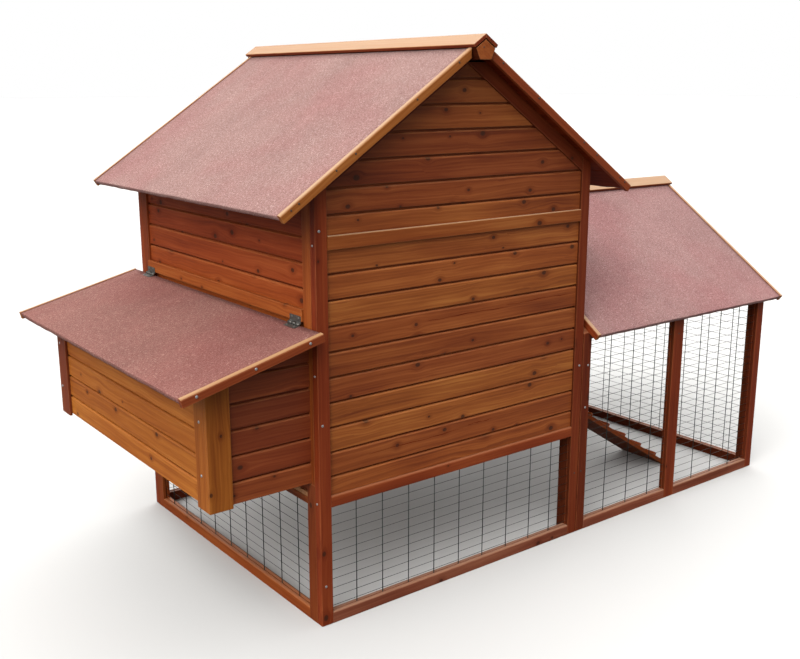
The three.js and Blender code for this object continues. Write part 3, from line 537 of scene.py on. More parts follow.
# ------------------------------------------------------------------- materials
class Nodes:
    """Short ways to add shader nodes; inputs take a value or another node's socket."""

    def __init__(self, tree):
        self.tree = tree
        tree.nodes.clear()

    def new(self, kind):
        return self.tree.nodes.new("ShaderNode" + kind)

    def put(self, socket, value):
        if isinstance(value, bpy.types.NodeSocket):
            self.tree.links.new(value, socket)
        else:
            socket.default_value = value

    def operation(self, kind, op, values):
        node = self.new(kind)
        node.operation = op
        for i, value in enumerate(values):
            self.put(node.inputs[i], value)
        return node

    def math(self, op, *values, clamp=False):
        node = self.operation("Math", op, values)
        node.use_clamp = clamp
        return node.outputs[0]

    def add(self, a, b, clamp=False):
        return self.math("ADD", a, b, clamp=clamp)

    def sub(self, a, b):
        return self.math("SUBTRACT", a, b)

    def mul(self, a, b, clamp=False):
        return self.math("MULTIPLY", a, b, clamp=clamp)

    def swing(self, noise, amount):
        """A 0..1 noise centred on zero and scaled."""
        return self.mul(self.sub(noise, 0.5), amount)

    def vector(self, op, *values):
        node = self.operation("VectorMath", op, values)
        return node.outputs["Value" if op == "DOT_PRODUCT" else 0]

    def split(self, vector):
        node = self.new("SeparateXYZ")
        self.put(node.inputs[0], vector)
        return node.outputs[0], node.outputs[1], node.outputs[2]

    def stretch(self, parts, frequencies):
        """A vector of the parts, each times its frequency; a missing third part is zero."""
        scaled = [self.mul(p, f) for p, f in zip(parts, frequencies)]
        node = self.new("CombineXYZ")
        for i, value in enumerate((scaled + [0.0])[:3]):
            self.put(node.inputs[i], value)
        return node.outputs[0]

    def mix(self, factor, a, b, mode="MIX"):
        node = self.new("Mix")
        node.data_type = "RGBA"
        node.blend_type = mode
        self.put(node.inputs[0], factor)
        for i, colour in ((6, a), (7, b)):
            socket = isinstance(colour, bpy.types.NodeSocket)
            self.put(node.inputs[i], colour if socket else (*colour, 1.0))
        return node.outputs[2]

    def times(self, colour, other):
        return self.mix(1.0, colour, other, "MULTIPLY")

    def brighten(self, colour, gain):
        node = self.new("VectorMath")
        node.operation = "SCALE"
        self.put(node.inputs[0], colour)
        self.put(node.inputs["Scale"], gain)
        return node.outputs[0]

    def noise(self, vector, scale=1.0, detail=2.0, rough=0.5):
        node = self.new("TexNoise")
        self.put(node.inputs["Vector"], vector)
        node.inputs["Scale"].default_value = scale
        node.inputs["Detail"].default_value = detail
        node.inputs["Roughness"].default_value = rough
        return node.outputs["Fac"]

    def ramp(self, factor, stops):
        node = self.new("ValToRGB")
        elements = node.color_ramp.elements
        while len(elements) < len(stops):
            elements.new(0.5)
        for element, (position, colour) in zip(elements, stops):
            element.position = position
            element.color = (*colour, 1.0)
        self.put(node.inputs[0], factor)
        return node.outputs[0]

    def remap(self, value, low, high, to_low=0.0, to_high=1.0, smooth=False):
        node = self.new("MapRange")
        if smooth:
            node.interpolation_type = "SMOOTHSTEP"
        for i, v in enumerate((value, low, high, to_low, to_high)):
            self.put(node.inputs[i], v)
        return node.outputs[0]


class Material(Nodes):
    def __init__(self, name):
        self.mat = bpy.data.materials.new(name)
        self.mat.use_nodes = True
        super().__init__(self.mat.node_tree)
        out = self.new("OutputMaterial")
        self.bsdf = self.new("BsdfPrincipled")
        self.put(out.inputs[0], self.bsdf.outputs[0])

    def attribute(self, name, output="Vector"):
        node = self.new("Attribute")
        node.attribute_name = name
        return node.outputs[output]

    def surface(self, **values):
        for name, value in values.items():
            self.put(self.bsdf.inputs[name.replace("_", " ")], value)

    def bump(self, height, strength, distance):
        node = self.new("Bump")
        node.inputs["Strength"].default_value = strength
        node.inputs["Distance"].default_value = distance
        self.put(node.inputs["Height"], height)
        self.put(self.bsdf.inputs["Normal"], node.outputs[0])


# frequencies per metre: along the grain, across the width, through the thickness
WAVER_FREQ = (2.3, 9.0, 9.0)         # sideways wander of the grain
FIGURE_FREQ = (1.6, 85.0, 60.0)      # broad growth-ring figure
FIBRE_FREQ = (12.0, 620.0, 620.0)    # fine fibres
CLOUD_FREQ = (3.2, 13.0, 13.0)       # patchy stain
WEAR_FREQ = (28.0, 120.0, 120.0)     # worn spots on edges
KNOT_CELLS = (6.5, 15.0)             # at most one knot in each cell
KNOT_SPECK_FREQ = (300.0, 300.0)
KNOT_RADIUS = (0.0026, 0.0086)       # smallest and largest, metres
KNOT_COLOUR, HALO_TINT = (0.035, 0.012, 0.006), (0.62, 0.48, 0.42)


def wood(name, dark, mid, light, tint_gain=0.10, tint_hue=0.5, knots=0.62, rough=0.5,
         edge=(0.45, 0.19, 0.07), edge_amount=0.22, red=(1.02, 0.84, 0.98),
         gold=(1.03, 1.24, 1.15), spec=0.22, top_highlight=None, top_highlight_amount=0.0):
    """Stained softwood: figure and fibres along the grain, knots, a tint for each board,
    worn edges and, with top_highlight, a painted highlight on upward faces."""
    net = Material(name)
    coords = net.attribute("gc")
    tint = net.attribute("gt")
    edge_mask = net.attribute("ge", "Fac")
    u, v, w = net.split(coords)
    tint_bright, tint_warm, _ = net.split(tint)
    # knots: scattered centres on the board face, round in real size
    cell = net.new("TexVoronoi")
    cell.voronoi_dimensions = "2D"
    cell.feature = "F1"
    cell.inputs["Scale"].default_value = 1.0
    cell.inputs["Randomness"].default_value = 0.85
    net.put(cell.inputs["Vector"], net.stretch((u, v), KNOT_CELLS))
    cell_x, cell_y, _ = net.split(cell.outputs["Position"])
    knot_u = net.math("DIVIDE", cell_x, KNOT_CELLS[0])
    knot_v = net.math("DIVIDE", cell_y, KNOT_CELLS[1])
    from_u, from_v = net.sub(u, knot_u), net.sub(v, knot_v)
    white = net.new("TexWhiteNoise")
    white.noise_dimensions = "3D"
    net.put(white.inputs["Vector"], cell.outputs["Position"])
    chance, size, _ = net.split(white.outputs["Color"])
    exists = net.math("LESS_THAN", chance, knots)
    radius = net.mul(net.remap(size, 0.0, 1.0, *KNOT_RADIUS), exists)
    long_u = net.mul(from_u, 0.75)   # knots are a little longer along the grain
    square = net.add(net.mul(long_u, long_u), net.mul(from_v, from_v))
    distance = net.math("SQRT", square)
    # the grain flows round each knot: 2.2 sets how wide it parts, 0.95 how far at most
    part = net.math("DIVIDE", net.mul(net.mul(radius, radius), 2.2),
                    net.math("MAXIMUM", square, 1e-6))
    part = net.math("MINIMUM", part, 0.95)
    flow = net.add(knot_v, net.mul(from_v, net.sub(1.0, part)))
    waver = net.noise(net.stretch((u, v, w), WAVER_FREQ), detail=2.0)
    flow = net.add(flow, net.mul(waver, 0.030))
    # growth rings cut flat: broad figure, 780 rad/m rings and fine fibres
    figure = net.noise(net.stretch((u, flow, w), FIGURE_FREQ), detail=3.0, rough=0.6)
    rings = net.math("SINE", net.mul(net.add(flow, net.mul(w, 0.6)), 780.0))
    fibre = net.noise(net.stretch((u, flow, w), FIBRE_FREQ), detail=2.0, rough=0.7)
    cloud = net.noise(net.stretch((u, v, w), CLOUD_FREQ), detail=2.0, rough=0.5)
    value = net.add(net.swing(figure, amount=1.35), 0.5)
    value = net.add(value, net.mul(rings, 0.055))
    value = net.add(value, net.swing(fibre, amount=0.55))
    value = net.add(value, net.swing(cloud, amount=0.85), clamp=True)
    colour = net.ramp(value, [(0.0, dark), (0.5, mid), (1.0, light)])
    # board to board difference in stain, and painted shade given to some boards, its gain held
    # between 0.72 and 1.30
    hue = net.add(net.mul(tint_warm, tint_hue), net.swing(cloud, amount=0.9))
    colour = net.mix(net.remap(hue, 0.0, 1.0), colour, net.times(colour, gold))
    colour = net.mix(net.remap(hue, 0.0, -1.0), colour, net.times(colour, red))
    gain = net.add(1.0, net.mul(tint_bright, tint_gain))
    gain = net.math("MINIMUM", net.math("MAXIMUM", gain, 0.72), 1.30)
    colour = net.brighten(colour, gain)
    # knots: dark speckled core and a soft halo, edges given in knot radii
    core = net.remap(distance, net.mul(radius, 1.0), net.mul(radius, 0.55), smooth=True)
    halo = net.remap(distance, net.mul(radius, 3.2), net.mul(radius, 0.8),
                     to_high=0.55, smooth=True)
    colour = net.mix(halo, colour, net.times(colour, HALO_TINT))
    speck = net.noise(net.stretch((u, v), KNOT_SPECK_FREQ), detail=2.0)
    speck = net.remap(speck, 0.2, 0.8, to_low=0.65, to_high=1.0)
    colour = net.mix(net.mul(core, speck), colour, KNOT_COLOUR)
    # worn edges are paler
    wear = net.noise(net.vector("MULTIPLY", coords, WEAR_FREQ), detail=2.0)
    wear = net.remap(wear, 0.35, 0.7, to_low=0.35, to_high=1.0)
    colour = net.mix(net.mul(net.mul(edge_mask, wear), edge_amount), colour, edge)
    if top_highlight:
        # faces that look up get a painted highlight
        up = net.remap(net.attribute("gu", "Fac"), 0.35, 0.8, to_high=top_highlight_amount, smooth=True)
        streaks = net.remap(figure, 0.25, 0.75, to_low=1.1, to_high=0.72)
        colour = net.mix(net.mul(up, streaks, clamp=True), colour, top_highlight)
    net.surface(Base_Color=colour,
                Roughness=net.remap(fibre, 0.2, 0.8, to_low=rough + 0.10, to_high=rough - 0.06),
                Specular_IOR_Level=spec)
    relief = net.add(net.mul(fibre, 0.6), net.mul(figure, 0.5))
    relief = net.sub(relief, net.mul(core, 0.8))
    net.bump(relief, strength=0.35, distance=0.0009)
    return net.mat


BLOTCH = 0.14                        # strength of the felt's uneven brightness
RED_PATCH = (0.98, 0.80, 0.83)


def felt(name, base, dark, light):
    """Mineral felt: dark and light grit in two sizes each over a blotchy base.
    Shifts move each noise away from the others; scales are per metre."""
    net = Material(name)
    coords = net.attribute("gc")

    def shifted(offset, vector=coords):
        return net.vector("ADD", vector, offset)
    grit = net.noise(coords, scale=620.0, detail=2.0, rough=0.75)
    fine = net.noise(shifted((3.1, 7.7, 1.3)), scale=1500.0, detail=1.0, rough=0.6)
    coarse = net.noise(shifted((9.1, 2.7, 5.3)), scale=260.0, detail=2.0, rough=0.6)
    broad = net.noise(net.vector("MULTIPLY", coords, (3.0, 5.0, 4.0)), detail=3.0, rough=0.6)
    patches = net.noise(shifted((7.0, 2.0, 9.0), net.vector("MULTIPLY", coords, (4.0, 3.0, 3.0))),
                        detail=3.0, rough=0.55)
    mottle = net.noise(shifted((5.0, 1.0, 4.0)), scale=22.0, detail=3.0, rough=0.65)
    colour = net.mix(net.remap(grit, 0.52, 0.30), base, dark)
    colour = net.mix(net.remap(fine, 0.56, 0.74, to_high=0.75), colour, light)
    colour = net.mix(net.remap(coarse, 0.50, 0.74, to_high=0.62), colour, dark)
    flecks = net.noise(shifted((4.1, 8.7, 2.3)), scale=210.0, detail=2.0, rough=0.6)
    colour = net.mix(net.remap(flecks, 0.54, 0.76, to_high=0.55), colour, light)
    gain = net.add(1.0, net.swing(broad, amount=BLOTCH * 2.6))
    gain = net.add(gain, net.swing(mottle, amount=BLOTCH * 1.5))
    # patches where the red shows more
    colour = net.mix(net.remap(patches, 0.42, 0.66, to_high=0.75), colour,
                     net.times(colour, RED_PATCH))
    net.surface(Base_Color=net.brighten(colour, gain), Roughness=0.92, Specular_IOR_Level=0.25)
    relief = net.add(net.mul(grit, 0.8), net.add(net.mul(fine, 0.4), net.mul(coarse, 0.5)))
    net.bump(relief, strength=0.55, distance=0.0012)
    return net.mat


def metal(name, dark, light, rough=0.42, metallic=0.85, scale=260.0):
    """Metal mottled between two colours; scale is per metre."""
    net = Material(name)
    coords = net.attribute("gc")
    broad = net.noise(coords, scale=scale, detail=3.0, rough=0.6)
    fine = net.noise(net.vector("ADD", coords, (2.0, 5.0, 1.0)), scale=scale * 4,
                     detail=2.0, rough=0.6)
    colour = net.ramp(net.add(net.mul(broad, 0.7), net.mul(fine, 0.3)),
                      [(0.3, dark), (0.7, light)])
    net.surface(Base_Color=colour, Metallic=metallic,
                Roughness=net.remap(fine, 0.3, 0.7, to_low=rough - 0.1, to_high=rough + 0.14))
    net.bump(fine, strength=0.15, distance=0.0004)
    return net.mat


# woods: dark, middle and light stain; the pale colour some take for upward faces is a painted
# highlight
RED = wood("red_wood", (0.118, 0.022, 0.005), (0.240, 0.058, 0.012), (0.370, 0.113, 0.027),
           tint_gain=0.09)
LEFT_WALL = wood("left_wall_wood", (0.150, 0.026, 0.006), (0.255, 0.050, 0.010),
                 (0.350, 0.088, 0.021), tint_gain=0.09, spec=0.11)
# painted shade: a darker copy of the red wood for the nest ends and the front nest corner, which lie
# in shade
SHADE_RED = wood("painted_shade_red_wood", (0.105, 0.018, 0.005), (0.180, 0.035, 0.009),
                (0.260, 0.063, 0.018), tint_gain=0.09)
RED_FRAME = wood("red_frame", (0.092, 0.012, 0.003), (0.158, 0.024, 0.006),
                 (0.225, 0.045, 0.012), tint_gain=0.10, tint_hue=0.35, knots=0.35,
                 edge=(0.36, 0.13, 0.05), edge_amount=0.3, spec=0.15,
                 top_highlight=(0.27, 0.10, 0.045), top_highlight_amount=0.8)
WARM = wood("warm_wood", (0.205, 0.048, 0.006), (0.335, 0.097, 0.013), (0.450, 0.155, 0.027),
            spec=0.16)
WARM_FRAME = wood("warm_frame", (0.125, 0.022, 0.004), (0.215, 0.042, 0.008),
                  (0.300, 0.076, 0.017), knots=0.35, spec=0.15,
                  top_highlight=(0.32, 0.12, 0.05), top_highlight_amount=0.7)
TRIM_WOOD = wood("trim_wood", (0.165, 0.038, 0.008), (0.250, 0.068, 0.013),
                 (0.345, 0.115, 0.027), knots=0.25, tint_gain=0.06,
                 edge=(0.50, 0.26, 0.11), edge_amount=0.5, rough=0.52, spec=0.16,
                 top_highlight=(0.41, 0.26, 0.155), top_highlight_amount=0.92)
RED_TRIM = wood("red_trim_wood", (0.120, 0.018, 0.005), (0.190, 0.034, 0.009),
                (0.262, 0.062, 0.018), knots=0.25, tint_gain=0.06,
                edge=(0.40, 0.17, 0.07), edge_amount=0.4, rough=0.5, spec=0.16,
                top_highlight=(0.41, 0.235, 0.115), top_highlight_amount=0.92)
# painted shade: dark wood for the roof boards under the felt, seen as the soffit; also the dark
# hairline cracks
SOFFIT_SHADE_AND_CRACKS = wood("soffit_shade_and_crack_wood", (0.080, 0.009, 0.002), (0.135, 0.016, 0.003),
            (0.195, 0.028, 0.006), knots=0.3, edge_amount=0.0, spec=0.05)
# painted shade: near-black wood for faces turned to low x that lie in shade
LEFT_FACE_SHADE = wood("painted_shade_face_wood", (0.045, 0.009, 0.003), (0.078, 0.015, 0.005),
             (0.110, 0.026, 0.009), knots=0.25, spec=0.06, edge_amount=0.1)
DUSTY = wood("dusty_rail_wood", (0.110, 0.026, 0.013), (0.175, 0.045, 0.024),
             (0.250, 0.082, 0.046), knots=0.35, spec=0.10, edge=(0.38, 0.19, 0.11),
             edge_amount=0.5, top_highlight=(0.30, 0.16, 0.10), top_highlight_amount=0.8)
# painted shade: near-black wood for the ridge beam's flanks and underside
BEAM_FLANK_SHADE = wood("painted_shade_timber", (0.030, 0.006, 0.002), (0.052, 0.011, 0.003),
              (0.075, 0.018, 0.006), knots=0.2, edge_amount=0.0, spec=0.04)
PLAIN = wood("plain_board", (0.260, 0.105, 0.040), (0.380, 0.185, 0.080),
             (0.500, 0.290, 0.150), knots=0.4, red=(1.03, 0.92, 0.90), gold=(1.0, 1.08, 1.04))
# felts: base, dark grit, light grit
ROOF_FELT = felt("roof_felt", (0.275, 0.158, 0.141), (0.110, 0.040, 0.034),
                 (0.560, 0.430, 0.400))
LID_FELT = felt("lid_felt", (0.216, 0.088, 0.073), (0.090, 0.026, 0.020),
                (0.470, 0.300, 0.255))
RUN_FELT = felt("run_felt", (0.288, 0.155, 0.146), (0.100, 0.036, 0.036),
                (0.520, 0.385, 0.365))
WIRE = metal("wire_mesh", (0.008, 0.013, 0.011), (0.022, 0.029, 0.025), rough=0.5,
             metallic=0.35, scale=90.0)
ZINC = metal("hardware", (0.055, 0.052, 0.046), (0.19, 0.185, 0.17), metallic=0.75)
BOLT = metal("screw_heads", (0.24, 0.245, 0.25), (0.48, 0.49, 0.50), rough=0.38,
             metallic=0.7, scale=900.0)
NAIL = metal("nail_heads", (0.030, 0.022, 0.018), (0.085, 0.070, 0.060), rough=0.5,
             metallic=0.5, scale=900.0)


# ============================================================== gable end walls
def gable_frame(parts, y0, y1, outer_y, groove):
    """Posts, rails and rafters of one end wall."""
    left_post, right_post, bottom_rail, floor_rail, rafters = parts
    left_cut, right_cut = slope_cuts("y", roof_seat)
    inner = POST + GAP
    left_post.board(grooved(0, POST, y0, y1, "a+", groove), "z", 0, roof_under(POST), UP_X,
                    [left_cut], 1.6, tint=(1.6, 0.2, 0.4))
    right_post.board(grooved(WIDTH - POST, WIDTH, y0, y1, "a-", groove), "z", 0,
                     roof_under(POST), UP_X, [right_cut], 1.6, tint=(-0.8, 0.1, 0.6),
                     second=faces_left_in_shade)
    bottom_rail.rounded(grooved(y0, y1, 0, SILL_TOP, "b+", groove), "x", inner, WIDTH - inner,
                        X_UP, edge_at(y=outer_y, z=SILL_TOP), 4.0, tint=(0.6, 0.8, 0.3))
    floor_rail.rounded(grooved(y0, y1, FLOOR_RAIL_LOW, FLOOR_Z, "b-", groove), "x", inner,
                       WIDTH - inner, X_UP, edge_at(y=outer_y, z=FLOOR_Z), 5.0,
                       tint=(2.0, 1.4, 0.6))
    # rafters meet at the middle, their tops cut level below the ridge
    mid, flat = MIDDLE_X - 0.2, roof_top(MIDDLE_X) - 51
    outline = [(inner, rafter_under(inner)), (mid, rafter_under(mid)), (mid, flat),
               (inner + (flat - roof_seat(inner)) / ROOF_SLOPE, flat),
               (inner, roof_seat(inner))]
    # the rafters are tinted darker as painted shade under the roof's overhang
    rafters.board(outline, "y", y0, y1, sloped(ROOF_RISE, Y), tint=(-3, -0.6, 0.2))
    rafters.board(mirrored(outline, WIDTH), "y", y0, y1, sloped(ROOF_FALL, Y),
                  tint=(-3, -0.6, 0.7))


# the right post's faces turned to low x get the near-black wood as painted shade
REAR_FRAME = {"rear_post_left": [RED_FRAME], "rear_post_right": [RED_FRAME, LEFT_FACE_SHADE],
              "rear_bottom_rail": [DUSTY], "rear_floor_rail": [RED_FRAME],
              "rear_rafters": [RED_FRAME]}
rear_parts = [Part(name) for name in REAR_FRAME]
gable_frame(rear_parts, 0, FRAME, 0, REAR_GROOVE)
for part in rear_parts:
    part.build("red_wood", *REAR_FRAME[part.name])

GABLE_CUTS = slope_cuts("y", lambda x: rafter_under(x) - GAP)
END_CLADDING = ("y", POST + GAP, WIDTH - POST - GAP, FLOOR_Z + GAP, rafter_under(MIDDLE_X),
                [END_LOWER, END_UPPER])
# one tint for each board, from the floor up; the upper gable boards are tinted darker as painted
# shade under the eaves
REAR_TINTS_AND_EAVE_SHADE = [
    (0.1, -0.1, .1), (-1.0, -0.5, .2), (1.1, 1.3, .3), (1.0, 1.5, .4), (-1.7, -1.0, .5),
    (-1.4, -0.5, .6), (-0.7, -0.5, .7), (0.9, 1.3, .8), (0.6, 0.3, .9), (-0.3, 0.5, .15),
    (-0.6, 0.2, .25), (-2.0, -1.0, .35), (-3.0, -1.8, .45), (-3.0, -1.4, .55),
    (-1.4, 0.0, .65), (-2.6, -0.4, .75), (-2.6, 0.0, .85)]
part = Part("rear_siding")
siding(part, *END_CLADDING, CLAD_SET_IN, -1, cuts=GABLE_CUTS, tints=REAR_TINTS_AND_EAVE_SHADE)
crack(part, 330, 620, 728)
crack(part, 600, 866, 733, 0.004)
crack(part, 150, 455, 417, 0.006)
crack(part, 470, 560, 425)
part.build("red_wood", RED, SOFFIT_SHADE_AND_CRACKS)

part = Part("rear_waist_batten")
BATTEN_Y, BATTEN_LOW = -2, 935
bm = box(POST + GAP, WIDTH - POST - GAP, BATTEN_Y, CLAD_SET_IN - GAP, BATTEN_LOW, BATTEN_TOP)
bevel_edges(bm, 2.6, 3, pick=edge_at(y=BATTEN_Y, z=BATTEN_TOP))
bevel_edges(bm, 0.8, 1, pick=edge_at(y=BATTEN_Y, z=BATTEN_LOW))
part.add(bm, X_UP, tint=(-1.4, -0.9, 0.4))
part.build("red_wood", TRIM_WOOD)

part = Part("front_frame")
gable_frame([part] * 5, FRONT, DEPTH, DEPTH, FRONT_GROOVE)
part.build("red_wood", RED_FRAME)
DOORWAY = (250, 650, 400, 900)       # x and z limits of the house door's opening
part = Part("front_siding")
siding(part, *END_CLADDING, DEPTH - CLAD_SET_IN, 1, openings=[DOORWAY], cuts=GABLE_CUTS)
part.build("red_wood", RED)

# house door: boards on two ledges, nailed
DOOR_FACE, DOOR_PLAY = DEPTH - CLAD_SET_IN, 2.5
part = Part("house_door")
siding(part, "y", DOORWAY[0] + DOOR_PLAY, DOORWAY[1] - DOOR_PLAY, DOORWAY[2] + DOOR_PLAY,
       DOORWAY[3] - DOOR_PLAY, [END_LOWER], DOOR_FACE, 1)
for z in (450, 805):
    part.slab(268, 632, 938, 950, z, z + 45, X_UP, bevel=1.6)
part.build("warm_wood", WARM, body="house_door_body")
part = Part("house_door_nails")
part.screws("y", DOOR_FACE - 0.5, 1, 2.0, [(x, z) for z in range(480, 847, 61) for x in (262, 638)])
part.build_screws("house_door_body")


def turn_button(name, body, x, y, z):
    part = Part(name)
    outline = [(x - 9, z - 30), (x + 9, z - 30), (x + 11, z), (x + 9, z + 30), (x - 9, z + 30),
               (x - 11, z)]
    part.board(outline, "y", y, y + 9, UP_X, bevel=2.0, segs=3)
    part.build("trim_wood", TRIM_WOOD, body=body)
    part = Part(name + "_screw")
    part.screw((x, y + 9.2, z), (0, 1, 0), 4.4)
    part.build_screws(body)


turn_button("house_door_button", "house_button_body", 666, 963.5, 660)
turn_button("run_door_button", "run_button_body", 1775, 969.5, 330)


def door_hinge(name, body, x, y, z, face, fixed):
    """The moving leaf with its barrel; the fixed leaf goes with the wall."""
    height, count = 50, 5
    z0, z1 = z - height / 2, z + height / 2
    moving = Part(name)
    for k in range(count):
        low = z0 + height * k / count + 0.25
        high = z0 + height * (k + 1) / count - 0.25
        part, side = (moving, 1) if k % 2 == 0 else (fixed, -1)
        part.knuckle((x, y, low), (x, y, high), 3.5)
        part.slab(*sorted((x - side * 0.5, x + side * 7)), face + GAP, y - 1.6, low, high,
                  UP_X, bevel=0, tint=NEUTRAL)
    moving.knuckle((x, y, z0 - 1.2), (x, y, z1 + 1.2), 1.6)
    for part, side in ((moving, 1), (fixed, -1)):
        part.slab(*sorted((x + side * 3.8, x + side * 28)), face + GAP, face + GAP + 1.6, z0, z1,
                  UP_X, bevel=0.5, tint=NEUTRAL)
        part.screws("y", face + GAP + 1.6, 1, 3.0, [(x + side * 18, z - 15), (x + side * 18, z + 15)])
    moving.build("hardware", ZINC, body=body, kind="metal")


fixed_leaves = Part("fixed_hinge_leaves")
# door, hinge, pin x and y, height of the hinge's middle, face the leaves lie on
for door, which, x, y, z, face in (("house_door", "lower", 251.25, 968, 475, 962),
                                   ("house_door", "upper", 251.25, 968, 825, 962),
                                   ("run_door", "lower", 1365, 972, 120, 966),
                                   ("run_door", "upper", 1365, 972, 480, 966)):
    door_hinge(f"{door}_hinge_{which}", door + "_body", x, y, z, face, fixed_leaves)

# ============================================================== side walls
WALL_TOP = roof_seat(0) - 2
STILE_Y0, STILE_Y1 = SIDE_Y0 + STILE, SIDE_Y1 - STILE
CLAD_Y0, CLAD_Y1 = STILE_Y0 + GAP, STILE_Y1 - GAP
CLAD_TOP = WALL_TOP - STILE - GAP

part = Part("nest_wall_frame")
FOOT_TOP = 364
# the foot of each stile, below the nest box, is a separate tint; the rear foot is darker as painted
# shade below the nest box and the front upper stile darker as painted shade: z range, bevel, tints
for z0, z1, bevel, rear_tint, front_tint in (
        (0, FOOT_TOP, 0.8, (-3, -0.6, .5), (-1, 0, .3)),
        (FOOT_TOP, WALL_TOP, 1.4, (0.4, 1.2, .5), (-3, -1.4, .3))):
    part.board(grooved(0, FRAME, SIDE_Y0, STILE_Y0, "b+"), "z", z0, z1, UP_Y, bevel=bevel,
               tint=rear_tint)
    part.board(grooved(0, FRAME, STILE_Y1, SIDE_Y1, "b-"), "z", z0, z1, UP_Y, bevel=bevel,
               tint=front_tint)
part.rounded(grooved(0, FRAME, 0, SILL_TOP, "b+"), "y", STILE_Y0, STILE_Y1, Y_UP,
             edge_at(x=0, z=SILL_TOP), 4.0, tint=(0.4, 0.6, 0.4))
part.board(grooved(0, FRAME, FLOOR_RAIL_LOW, JOIST_TOP, "b-"), "y", STILE_Y0, STILE_Y1, Y_UP,
           bevel=1.4)
part.slab(0, FRAME, STILE_Y0, STILE_Y1, WALL_TOP - STILE, WALL_TOP, Y_UP, bevel=1.4)
part.build("warm_wood", WARM_FRAME)

part = Part("run_wall_frame")
# faces turned to low x get the near-black wood as painted shade
for y0, y1, z0, z1, axes in ((SIDE_Y0, STILE_Y0, 0, WALL_TOP, UP_Y),
                             (STILE_Y1, SIDE_Y1, 0, WALL_TOP, UP_Y),
                             (STILE_Y0, STILE_Y1, FLOOR_RAIL_LOW, JOIST_TOP, Y_UP)):
    part.slab(WIDTH - FRAME, WIDTH, y0, y1, z0, z1, axes, bevel=1.4, second=faces_left_in_shade)
part.slab(WIDTH - FRAME, WIDTH, STILE_Y0, STILE_Y1, WALL_TOP - STILE, WALL_TOP, Y_UP, bevel=1.4)
part.build("red_wood", RED_FRAME, LEFT_FACE_SHADE)

SIDE_CLADDING = ("x", CLAD_Y0, CLAD_Y1, FLOOR_Z + GAP, CLAD_TOP, [SIDE_BOARDS])
part = Part("nest_wall_siding")
# the four top boards are tinted darker as painted shade under the roof's eave
siding(part, *SIDE_CLADDING, CLAD_SET_IN, -1,
       openings=[(y, y + 250, 400, 640) for y in (95, 371, 647)],
       tints=[None] * 7 + [(-0.7, -0.1, .3), (-1.4, -1.2, .6), (-2.0, -2.4, .8),
                           (-2.6, -2.0, .4)])
part.build("warm_wood", LEFT_WALL)
part = Part("nest_hinge_rail")
part.slab(-5.7, 5.7, CLAD_Y0, CLAD_Y1, 762, 793, Y_UP, bevel=2.0, segs=3, tint=(-0.6, 1.5, 0.4))
part.build("warm_wood", LEFT_WALL)

part = Part("run_wall_siding")
siding(part, *SIDE_CLADDING, WIDTH - CLAD_SET_IN, 1, openings=[(189, 379, 415, 690)])
# door guides: a post and a thin lip beside it
for post, lip in (((148, 169), (168, 179)), ((399, 420), (389, 400))):
    part.slab(867, 882.5, *post, 399, 985, UP_Y, bevel=1.0)
    part.slab(867, 870.5, *lip, 399, 985, UP_Y, bevel=0.6)
part.build("red_wood", RED)

part = Part("pop_door")
part.slab(872, 881, 171, 284, 692, 977, UP_Y, bevel=1.0)
part.slab(872, 881, 284.4, 397, 692, 977, UP_Y, bevel=1.0)
part.slab(858, 873, 239, 329, 720, 740, Y_UP, bevel=2.5, segs=3)
part.slab(867.4, 872.5, 181, 387, 930, 960, Y_UP)
part.build("plain_board", PLAIN, body="pop_door_body")
part = Part("pop_door_screws")
part.screws("x", 857.8, -1, 3.2, [(250, 730), (318, 730)])
part.build_screws("pop_door_body")

# ------------------------------------------------------------- floor and perch
part = Part("floor_deck")
DECK_LOW, EDGE_BOARD = FLOOR_Z - FLOOR_THICK, 34.4
for y0, y1 in ((SIDE_Y0, SIDE_Y0 + EDGE_BOARD), (SIDE_Y1 - EDGE_BOARD, SIDE_Y1)):
    part.slab(FRAME + GAP, WIDTH - FRAME - GAP, y0, y1, DECK_LOW, FLOOR_Z, X_FLAT,
              bevel=0.8, segs=1)
joints = np.linspace(SIDE_Y0 + 34.6, SIDE_Y1 - 34.6, 10)
for y0, y1 in zip(joints, joints[1:]):
    part.slab(2, WIDTH - 2, y0 + 0.4, y1 - 0.4, DECK_LOW, FLOOR_Z, X_FLAT, bevel=0.8, segs=1)
part.build("plain_board", PLAIN)
part = Part("perch_bar")
bm = box(18.3, WIDTH - 18.3, 540, 580, 686, 714)
bevel_edges(bm, 6, 4, pick=lambda e: abs(e.verts[0].co.x - e.verts[1].co.x) > 10)
bevel_edges(bm, 0.8, 1, angle=70)
part.add(bm, X_FLAT)
part.build("plain_board", PLAIN)
part = Part("perch_screws")
for z in (694, 706):
    part.screw((6, 560, z), (-1, 0, 0), 3.2)
    part.screw((WIDTH - 6, 560, z), (1, 0, 0), 3.2)
part.build_screws()

# ================================================================== wire mesh
UPRIGHT_R, CROSS_R = 1.25, 0.62
# run frame: x limits of its inner, middle and end posts
INNER_POST, MIDDLE_POST, END_POST = (903, 936), (1315, 1362), (1757, 1790)
RUN_RAIL_LOW, END_STILE = 590, 24
END_GROOVE = (1777.7, 1780.3)
DOOR_X0, DOOR_X1, DOOR_Z0, DOOR_Z1, DOOR_BAR = 1366.5, 1752.5, 34.5, 563.5, 40


